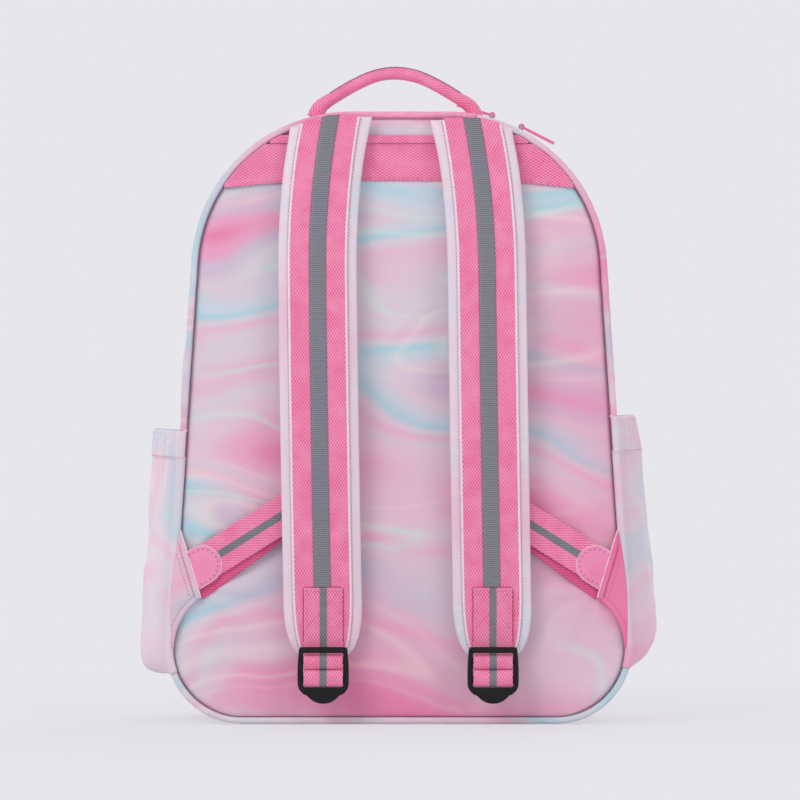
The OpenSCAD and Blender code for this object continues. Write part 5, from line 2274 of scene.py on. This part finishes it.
    def band(self, word: str, knots: Sequence[tuple[float, float]], thickness: float) -> Piece:
        """A striped webbing as wide as the buckle's window, bent through knots in Y and Z."""
        track, weave = bent_track(knots, self.buckle_x), Weave(stripe=self.stripe)
        return woven_strip(self.side.of(word), track, self.adj_w / 2, thickness, weave, both=True)

    def build_tab(self) -> None:
        """The webbing tab from the strap's end round the upper bar and back behind itself."""
        bar_y, upper, leaf = self.bar_y, self.upper, self.leaf
        start = np.linspace(1 - self.tab_l / self.length, 0.985, 4)
        sewn = self.track(start, self.face + 1.05).places[:, 1:]
        tab = self.band("strap_tab_web", [
            *sewn, (leaf + 0.2, upper + 8.2), (leaf - 0.9, upper + 4.6), (bar_y + 3.4, upper + 3.3),
            (bar_y + 0.2, upper + 3.4), (bar_y - 2.4, upper + 2.4), (bar_y - 3.3, upper - 0.2),
            (bar_y - 2.4, upper - 3.5), (bar_y - 0.1, upper - 5.1), (leaf - 3.9, upper - 4.1),
            (leaf + 0.6, upper), (leaf + 1.7, upper + 8.0),
        ], 1.4)
        settle(tab, self.body, Slot.WEBBING, self.side.of("strap_tab"))
        self.sew_tab(Seat(tab), sewn[0][1] - 2.6, sewn[-1][1] + 4.0)
        # A thin dark tube round the tab's top and sides: a painted shadow along its edges.
        half, top, cut = self.adj_w / 2 + 0.25, sewn[0][1] + 0.25, 1.2
        corners = np.array([
            (-half, 60.0), (-half, top - cut), (cut - half, top),
            (half - cut, top), (half, top - cut), (half, 60.0),
        ])
        runs = [np.linspace(a, b, 14, endpoint=False) for a, b in zip(corners, corners[1:])]
        x, z = np.concatenate([*runs, corners[-1:]]).T
        path = self.web_seat.drop(spots(x + self.buckle_x, leaf, z), 0.05)
        track = Track(path, sideways(path), BEHIND)
        line = tube(self.side.of("tab_edge"), track, (0.4, 0.35), TAB_SHADOW_CLOTH, 6)
        settle(line, self.body, Slot.WEBBING)

    def sew_tab(self, seat: Seat, high: float, low: float) -> None:
        """Sews a box with a cross between two heights of the tab, dark along its top and its cross.

        Args:
            seat: The tab's back.
            high: The upper height.
            low: The lower height.
        """
        half = self.adj_w / 2 - 2.2
        corners = np.array([(-half, high), (half, high), (half, low), (-half, low)])
        rows = ((0, 1, PLUM_THREAD), (1, 2, ROSE_THREAD), (2, 3, ROSE_THREAD), (3, 0, ROSE_THREAD),
                (0, 2, PLUM_THREAD), (1, 3, PLUM_THREAD))
        for start, end, thread in rows:
            x, z = np.linspace(corners[start], corners[end], 24).T
            self.sewing.add(self.body, thread, seat.drop(spots(self.buckle_x + x, self.leaf, z), 0.05))

    def build_run(self) -> None:
        """The adjuster's upright run behind the strap, which goes on down to the buckle."""
        lower, leaf = self.lower, self.leaf
        heights = np.linspace(span(self.side.of("adjuster_run"))[1].z, 70.0, 6)
        behind = self.track(self.share_at(heights), -self.thick / 2 - 1.0).places[:, 1:]
        run = self.band("adjuster_upright", [
            *behind, (leaf + 12.0, 58.0), (leaf + 11.4, 50.0), (leaf + 7.5, 42.0), (leaf + 1.2, lower + 2.0),
            (leaf - 2.6, lower - 2.9), (self.bar_y + 3.2, lower - 3.05),
        ], 1.3)
        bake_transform(run)
        settle(run, None, Slot.WEBBING, self.side.of("adjuster_run"))

    def build_loop(self) -> None:
        """The adjuster's loop over the lower bar."""
        bar_y, lower = self.bar_y, self.lower
        loop = self.band("buckle_web", [
            (bar_y + 3.2, lower + 3.4), (bar_y + 0.1, lower + 5.7), (bar_y - 2.1, lower + 4.5),
            (bar_y - 3.1, lower), (bar_y - 2.2, lower - 3.9), (bar_y + 0.6, lower - 5.0),
            (bar_y + 3.2, lower - 3.3),
        ], 1.4)
        settle(loop, self.buckle, Slot.WEBBING, self.side.of("buckle_loop"))

    def build_buckle(self) -> None:
        """The ladder buckle: a rounded frame with a ridged thumb tab, and two bars."""
        low, high = span(self.side.of("buckle"))
        half, window = (high.x - low.x) / 2, self.adj_w / 2 + 0.3
        top, foot = high.z, self.lower - self.bar_r - 4.0
        base = foot - 5.5
        depth = base - low.z
        bow = (self.thumb_half**2 + depth**2) / (2 * depth)
        turn = np.linspace(1.0, -1.0, 7) * math.asin(self.thumb_half / bow)
        thumb = list(zip(bow * np.sin(turn), low.z + bow * (1 - np.cos(turn))))
        flank = [(half, top - 16.0), (half - 0.3, base + 4.5), (half - 5.0, base)]
        mirrored = [(-x, z) for x, z in reversed(flank)]
        outer = rounded_outline(
            [(1.2 - half, top), (half - 1.2, top), *flank, *thumb, *mirrored],
            (2.6, 2.6, 8.0, 4.0, 1.2, *(2.4,) * len(thumb), 1.2, 4.0, 8.0),
        )
        eye = top - 4.2
        inner = rounded_outline([(-window, eye), (window, eye), (window, foot), (-window, foot)], (1.4,) * 4)
        place = Matrix.Translation(Vector((self.buckle_x, self.bar_y, 0.0)) * MM)
        place = place @ Matrix.Rotation(QUARTER, 4, "X")
        parts = [plate(self.side.of("ladder_buckle"), [outer, inner], 3.6, 0.9, BLACK_PLASTIC, place)]
        bars = [(window + 1.0, self.bar_y, z, (self.bar_r, self.bar_r), 20) for z in (self.upper, self.lower)]
        ridges = [(6.0, self.bar_y - 1.7, z, (0.45, 0.5), 8) for z in np.linspace(base - 0.5, low.z + 2.6, 3)]
        for reach, y, z, radii, sides in bars + ridges:
            track = Track(spots(np.linspace(-reach, reach, 9) + self.buckle_x, y, z), UP, BEHIND)
            parts.append(tube("buckle_part", track, radii, BLACK_PLASTIC, sides))
        settle(joined(parts), self.buckle, Slot.BUCKLE, self.side.of("buckle"))


@dataclass
class Adjuster:
    """The webbing from a wing up to the strap, with its wing and sewn patch."""

    side: Side
    sewing: Sewing
    holes: RowTree
    rise: float = 32.0
    width: float = 26.0
    start_share: float = 0.6
    tail_drop: float = 8.0
    tail_close: float = 0.07
    wing_tip_z: float = 91.0
    patch_w: float = 27.5
    patch_reach: float = 21.6
    patch_under: float = 2.2
    overlap: float = 4.6
    strap_x: float = 60.8
    shift: float = 4.6

    def build(self) -> None:
        """Builds the two layers of webbing, the wing and the patch."""
        low, high = span(self.side.of("wing"))
        self.wing_y = high.y
        self.top = np.array((self.edge_x(high.z), high.z))
        self.tip = np.array((min(abs(low.x), abs(high.x)), self.wing_tip_z))
        self.low = np.array((self.edge_x(low.z), low.z))
        self.start = self.top + (self.tip - self.top) * self.start_share
        angle = math.radians(self.rise)
        self.way = np.array((-math.cos(angle), math.sin(angle)))
        self.normal = np.array((math.sin(angle), math.cos(angle)))
        self.build_webbing()
        self.build_wing()
        self.build_patch()

    @staticmethod
    def edge_x(z: float) -> float:
        """X of the panel's edge beside the seam at a height on the right side."""
        return float(FORM.seam(FORM.at_height(np.array([z])), 0.0, 0.0)[0, 0]) - FORM.seam_in - 0.2

    def flat(self, points: Array, y: Array | float) -> Array:
        """Places from X and Z on the right side, mirrored to this side, at a depth."""
        return spots(points[..., 0] * self.side.value, y, points[..., 1])

    def build_webbing(self) -> None:
        """The band with its grey stripe and the loose tail below it, both bent up to the strap."""
        goal = self.strap_x + self.side.value * self.shift
        length = (self.start[0] - goal) / -self.way[0]
        # The tail takes the darker webbing as painted shade.
        layers = (
            ("adjuster_tail", self.tail_drop, self.tail_close, 70.8, 75.2, 0.0, 0.0, SHADED_WEBBING),
            ("adjuster", 0.0, 0.0, 72.7, 78.4, 1.4, 2.5, PINK_WEBBING),
        )
        s = np.arange(-5.0, length - 2.0, FINE_STEP)
        share = np.clip(s / (length - 18.0), 0.0, 1.0)
        ease = share * share * (3 - 2 * share)
        across = self.flat(self.normal, 0.0)
        begin, end = (self.flat(self.start + self.way * far, FORM.back_y) * MM for far in (6.0, length - 4.0))
        for node, drop, close, near, far, tuck, stripe, finish in layers:
            line = self.start + np.outer(s, self.way) - np.outer(drop - close * s, self.normal)
            tucked = tuck * np.clip((4.0 - s) / 8.0, 0.0, 1.0)
            y = tucked - (near + (far - near) * ease) + 0.25 * np.sin(s / 14.0) * ease
            track, weave = Track(self.flat(line, y), across, BEHIND), Weave(stripe=stripe)
            name = self.side.of(f"{node}_web")
            strip = woven_strip(name, track, self.width / 2, 1.3, weave, finish, both=True)
            f"{self.side.label}_strap"
            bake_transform(strip)
            settle(strip, None, Slot.WEBBING, self.side.of(node))

    def lower_edge(self, count: int) -> Array:
        """The wing's concave lower edge from its tip to its low corner."""
        return quadratic(self.tip, np.array((self.low[0] - 1.5, self.tip[1] - 12.0)), self.low, count)

    def build_wing(self) -> None:
        """The printed wing, which bulges a little over the pocket's edge."""
        lower = self.lower_edge(40)
        falling = lower[np.argsort(-lower[:, 1], kind="stable")]
        inner = np.concatenate([np.linspace(self.top, self.tip, 22)[:-1], falling])
        z = inner[:, 1]
        share = np.clip((z - self.low[1]) / (self.top[1] - self.low[1]), 0.0, 1.0)
        bulge = self.overlap * np.sin(math.pi * share) ** 0.6
        outer = np.stack([np.array([self.edge_x(height) for height in z]) + bulge, z], 1)
        left, right = self.flat(inner, self.wing_y), self.flat(outer, self.wing_y)
        finish = WING_CLOTHS[self.side]
        relief = rippled(0.25, 22.0, 81)
        wing = soft_panel(
            self.side.of("wing_cloth"), right, 16, BEHIND, 3.0, 2.6, [finish], relief, left=left
        )
        settle(wing, "bag", Slot.EDGE, self.side.of("wing"))
        self.build_wing_edges(finish, Seat(wing))

    def build_wing_edges(self, finish: Finish, seat: Seat) -> None:
        """The wing's folded slanting edge with a pale lip along it as a painted highlight, its bound lower
        edge and its stitch rows.

        Args:
            finish: The wing's finish.
            seat: The wing's back.
        """
        slant, curve = np.linspace(self.top, self.tip, 60), self.lower_edge(50)
        fall = unit(self.tip - self.top)
        side = np.array((-fall[1], fall[0])) * np.sign(-fall[1])
        way = unit(np.gradient(curve, axis=0))
        edge = np.stack([-way[:, 1], way[:, 0]], 1)
        edge *= np.sign(edge[:, :1] + 1e-9)
        slim = np.clip(0.12 + 3.2 * np.linspace(0.0, 1.0, len(slant)), 0.0, 1.0)
        thin = np.clip(0.15 + 2.6 * np.linspace(1.0, 0.0, len(curve)), 0.0, 1.0)
        back, across = self.wing_y, self.flat(side, 0.0)
        # The lip is a thin pale tube along the fold's edge, a painted highlight.
        trims = (
            ("fold", slant + np.outer(2.1 * slim, side), 4.1, across, (1.1, 2.0), finish, 16, 0.04, slim),
            ("lip", slant + side * 0.2, 4.5, across, (0.4, 0.4), FOLD_AND_HIGHLIGHT_CLOTH, 8, 0.0, 1.0),
            ("binding", curve + edge * (1.5 * thin)[:, None], 2.6, self.flat(edge, 0.0), (1.3, 1.7), finish,
             12, 0.04, thin),
        )
        for word, line, proud, ways, radii, cloth, sides, fold, taper in trims:
            track = Track(self.flat(line, back - proud), ways, BEHIND)
            trim = tube(self.side.of(f"wing_{word}"), track, radii, cloth, sides, fold, taper)
            settle(trim, "bag", Slot.EDGE)
        # The first slanting row runs along the fold's outer edge, where its dark plum stitches also stand for
        # the fold's shadow as painted shade.
        rows = (slant[8:-4] + side * 4.7, slant[14:-6] + side * 8.2, curve[3:-8] + edge[3:-8] * 4.3)
        for line in rows:
            kept = np.array([point for point in line if point[0] < self.edge_x(point[1]) + 2.0])
            self.sewing.add("bag", PLUM_THREAD, seat.drop(self.flat(kept, back - 3.0), 0.06))

    def build_patch(self) -> None:
        """The D-shaped patch over the webbing's end, with a pale rim that is its edge with a painted
        highlight, and a row of punched holes drawn as dark discs of painted shade.
        """
        low, high = span(self.side.of("patch"))
        radius = self.patch_w / 2
        side = np.array((self.way[1], -self.way[0]))
        begin, body = -self.patch_under, self.patch_reach - radius
        slant = self.tip - self.top
        lean = slant @ self.way / (slant @ side)

        def placed(a: Array, b: Array, y: float) -> Array:
            """Places along and across the patch, whose flat side leans as the wing's fold does."""
            along = a + lean * b * np.clip((body - a) / (body - begin), 0.0, 1.0)
            return self.flat(self.start + np.outer(along, self.way) + np.outer(b, side), y)

        turn = np.linspace(0, QUARTER - 0.03, 22)
        a = np.concatenate([np.linspace(begin, body, 10)[:-1], body + radius * np.sin(turn)])
        half = np.where(a < body, radius, np.sqrt(np.clip(radius**2 - (a - body) ** 2, 0.0, None)))
        left, right = (placed(a, sign * half, high.y) for sign in SIGNS)
        patch = soft_panel(
            self.side.of("leather_patch"), right, 22, BEHIND, high.y - low.y, 1.2, [PINK_LEATHER],
            rippled(0.12, 14.0, 91), 0.45, left,
        )
        settle(patch, "bag", Slot.LEATHER, self.side.of("patch"))
        # The rim: a pale tube round the patch, its light edge with a painted highlight.
        path = np.concatenate([left[2:], right[:1:-1]])
        path[:, 1] = (low.y + high.y) / 2 - 0.1
        track = Track(path, sideways(path), BEHIND)
        rim = tube(self.side.of("patch_rim"), track, (0.45, 0.3), FOLD_AND_HIGHLIGHT_CLOTH, 6)
        settle(rim, "bag", Slot.LEATHER)
        # The holes are dark discs laid on the patch, painted shade where the punched holes are.
        small = radius - 2.5
        turn = np.linspace(-QUARTER, QUARTER, 60)
        straight = np.linspace(begin + 4.0, body, 12)[:-1]
        a = np.concatenate([straight, body + small * np.cos(turn), straight[::-1]])
        b = small * np.concatenate([np.full(11, -1.0), np.sin(turn), np.full(11, 1.0)])
        row = Seat(patch).drop(placed(a, b, low.y), 0.0)
        name = self.side.of("patch_holes")
        settle(self.holes.lay(name, [row], BEHIND, 3.4, (1.15, 1.15, 0.24), PLUM_THREAD), "bag", None)


@dataclass
class CarryHandle:
    """The rolled webbing handle at the top seam."""

    sewing: Sewing
    radius: float = 4.5
    flat: float = 5.2
    shift: float = -2.6
    foot_swell: float = 1.7
    sides: int = 56
    picks: int = 14
    drops: tuple[tuple[float, float], ...] = (
        (0.0, 0.0), (15.0, 2.3), (30.0, 8.9), (44.2, 17.3), (53.2, 23.3), (56.4, 28.0), (57.6, 32.0),
    )

    def build(self) -> None:
        """Builds the arch, its seam groove painted dark as shade, a dark cord of painted shade along its
        edge, and the anchors under its feet.
        """
        low, high = span("carry_handle")
        y, peak = (low.y + high.y) / 2, high.z - self.radius
        half = np.array(self.drops)
        x, drop = smooth_line(np.concatenate([half[:0:-1] * SIGNS, half])).T
        level = Track(spots(x + self.shift, y, peak - drop), AHEAD, UP).resampled(PICK_STEP)
        places = level.places
        way = np.gradient(places, axis=0)
        out = unit(spots(-way[:, 2], way[:, 1], way[:, 0]))
        track = Track(places, BEHIND, out)
        angle = np.linspace(0.0, TURN, self.sides, endpoint=False)
        middle_r = (self.radius + self.flat) / 2
        weave = Weave(across=TURN * middle_r / self.picks)
        height = weave.height(angle * middle_r, level.lengths[:, None])
        sunk = np.clip((peak - places[:, 2] - 18.0) / 14.0, 0.0, 1.0)
        swell = (1 + self.foot_swell / self.radius * sunk) * (1 + 0.04 * ripple(places, 24.0, 101))
        seam = np.exp(-((angle - 0.35) / 0.09) ** 2)
        body = (1 + 0.28 * (height - 0.5) / self.radius) * swell[:, None] * (1 - 0.09 * seam)
        ring = track.spread(np.sin(angle) * self.flat * body, np.cos(angle) * self.radius * body)
        # Painted shade: the seam groove lowers the weave value that the webbing finish reads, so the groove
        # is painted dark.
        attributes = {"weave": height * (1 - 0.9 * seam), "stripe": np.zeros(height.size)}
        faces = tube_faces(*ring.shape[:2])
        handle = make_piece("handle_webbing", ring, faces, [PINK_WEBBING], attributes=attributes)
        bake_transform(handle)
        settle(handle, None, Slot.WEBBING, "carry_handle")
        free = sunk == 0.0
        # A thin dark cord along the outer top edge: the rolled webbing's edge, dark as painted shade.
        edge = places + out * (self.radius * 0.93) + np.array(BEHIND) * (self.flat * 0.36)
        cord = tube("handle_edge", Track(edge[free], AHEAD, out[free]), (0.42, 0.42), SEAM_SHADE, 8)
        settle(cord, "handle", Slot.WEBBING)
        row = places + out * (self.radius * 0.62) + np.array(BEHIND) * (self.flat * 0.8)
        self.sewing.add("handle", ROSE_THREAD, Seat(handle).drop(row[free], 0.05))
        self.build_anchors(half[-1, 0] - 1.0, y)

    def build_anchors(self, half: float, y: float) -> None:
        """A short webbing tab under each foot, sewn into the top seam.

        Args:
            half: Half of the distance between the feet.
            y: The handle's depth.
        """
        depth = np.arange(y - 11.5, y + 9.0, FINE_STEP)
        for side in Side:
            foot = side.value * half + self.shift
            lean = math.asin(max(0.0, abs(foot) - FORM.top_c[0]) / FORM.shoulder_r)
            sin, cos = side.value * math.sin(lean), math.cos(lean)
            z = FORM.top_c[1] + FORM.shoulder_r * cos + FORM.wall_out(depth) + 0.55
            track = Track(spots(foot, depth, z), (cos, 0.0, -sin), (sin, 0.0, cos))
            settle(woven_strip(side.of("handle_anchor"), track, 8.0, 1.0), "bag", Slot.WEBBING)


@dataclass
class Inside:
    """What shows inside the open bag: the padded sleeve and its binding."""

    wall_gap: float = 2.6

    def build(self) -> None:
        """Builds the sleeve and its binding."""
        low, high = span("inner_sleeve")
        heights = np.concatenate([np.linspace(low.z, 60.0, 14), np.linspace(66.0, high.z, 26)])
        right = self.edge(heights, low.y)
        thickness = high.y - low.y
        relief = rippled(0.8, 85.0, 111)
        sleeve = soft_panel("sleeve_pad", right, 44, AHEAD, thickness, 6.0, [LINING_CLOTH], relief)
        settle(sleeve, "bag", Slot.LINING, "inner_sleeve")
        foot, top = span("sleeve_binding")
        right = self.edge(np.linspace(foot.z, top.z, 8), low.y)
        binding = soft_panel("sleeve_edge_binding", right, 60, AHEAD, thickness + 0.4, 3.0, [BINDING_CLOTH])
        settle(binding, "bag", Slot.WEBBING, "sleeve_binding")

    def edge(self, heights: Array, y: float) -> Array:
        """Places beside the right wall at the given heights.

        Args:
            heights: The heights.
            y: The depth.

        Returns:
            A place for each height.
        """
        right = FORM.wall_line(FORM.at_height(heights), y, self.wall_gap)
        right[:, 2] = heights
        return right


@dataclass
class KeptNodes:
    """CAD nodes whose own shape is right, and which only take a finish."""

    finishes: tuple[tuple[str, Finish], ...] = (
        ("main_slider_upper", NICKEL),
        ("main_slider_lower", NICKEL),
        ("pocket_slider", NICKEL),
        ("main_pull_upper", PULL_RUBBER),
        ("main_pull_lower", PULL_RUBBER),
        ("pocket_pull", PULL_RUBBER),
        ("base_board", BOARD_CLOTH),
    )

    def dress(self) -> None:
        """Puts each node's finish in its material slots."""
        for name, finish in self.finishes:
            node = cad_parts[name]
            node.data.materials.clear()
            node.data.materials.append(finish.build())
            LOG.info("%s: kept, dressed in %s", name, finish.name)


@dataclass
class Studio:
    """Camera, soft light, floor and backdrop, with sizes in metres."""

    distance: float = 4.0
    frame_w: float = 0.576
    centre_x: float = 0.0007
    centre_z: float = 0.2333
    sensor: float = 36.0
    target: Point = (0.0, 0.0, 0.22)
    floor_reach: float = 14.0
    floor_z: float = -0.0005

    def build(self) -> None:
        """Sets the stage that the photograph shows."""
        bpy.context.scene.view_settings.view_transform = "Standard"
        self.build_camera()
        self.build_world()
        self.build_lamps()
        self.build_floor()

    def build_camera(self) -> None:
        """A long lens straight on the back panel."""
        data = bpy.data.cameras.new("camera")
        data.sensor_width = self.sensor
        data.lens = self.sensor * self.distance / self.frame_w
        camera = link("camera", data)
        camera.location = (self.centre_x, FORM.back_y * MM - self.distance, self.centre_z)
        camera.rotation_euler = (QUARTER, 0.0, 0.0)
        bpy.context.scene.camera = camera

    def build_world(self) -> None:
        """An even pale surround, which the camera sees in the background's own tone."""
        world = bpy.data.worlds.new("surround")
        bpy.context.scene.world = world
        world.use_nodes = True
        graph = Graph(world.node_tree)
        path = graph.node("ShaderNodeLightPath").outputs
        seen = graph.math("MAXIMUM", path["Is Camera Ray"], path["Is Transmission Ray"])
        shown = graph.add("ShaderNodeBackground", {"Color": BACKDROP, "Strength": 1.0})
        lit = graph.add("ShaderNodeBackground", {"Color": (1.0, 0.99, 1.0, 1.0), "Strength": 0.62})
        mixed = graph.add("ShaderNodeMixShader", {0: seen, 1: lit, 2: shown})
        graph.node("ShaderNodeOutputWorld", {0: mixed})

    def build_lamps(self) -> None:
        """Large soft lamps: a key above the left of the camera, a fill, and two behind."""
        lamps = (
            ("key", (-1.5, -2.1, 2.0), 1.5, 27.0),
            ("fill", (1.9, -2.0, 0.9), 1.6, 9.0),
            ("rear", (1.3, 2.3, 1.6), 1.6, 24.0),
            ("rear_fill", (-1.9, 1.7, 0.8), 1.4, 9.0),
        )
        for name, place, size, power in lamps:
            data = bpy.data.lights.new(name, "AREA")
            data.shape = "DISK"
            data.size = size
            data.energy = power
            lamp = link(name, data)
            lamp.location = place
            lamp.rotation_euler = (Vector(self.target) - Vector(place)).to_track_quat("-Z", "Y").to_euler()

    def build_floor(self) -> None:
        """A pale floor that reaches far past the view."""
        mesh = bpy.data.meshes.new("floor")
        reach = self.floor_reach
        corners = [(-reach, -reach, 0.0), (reach, -reach, 0.0), (reach, reach, 0.0), (-reach, reach, 0.0)]
        mesh.from_pydata(corners, [], [(0, 1, 2, 3)])
        mesh.materials.append(StudioFloor("studio_floor").build())
        floor = link("floor", mesh)
        floor.location.z = self.floor_z


def main() -> None:
    """Builds the stage and then the bag, from its shell outwards."""
    logging.basicConfig(level=logging.INFO, format="%(name)s: %(message)s")
    Studio().build()
    sewing = Sewing()
    stitch, tooth, hole = (RowTree(shape) for shape in RowShape)
    BagShell().build()
    BackPanel(sewing).build()
    MainZip(tooth).build()
    FrontPocket(tooth).build()
    for side in Side:
        SidePocket(side, sewing).build()
        ShoulderStrap(side, sewing).build()
        Adjuster(side, sewing, hole).build()
    CarryHandle(sewing).build()
    Inside().build()
    sewing.sew(stitch)
    KeptNodes().dress()


if __name__ == "__main__":
    main()
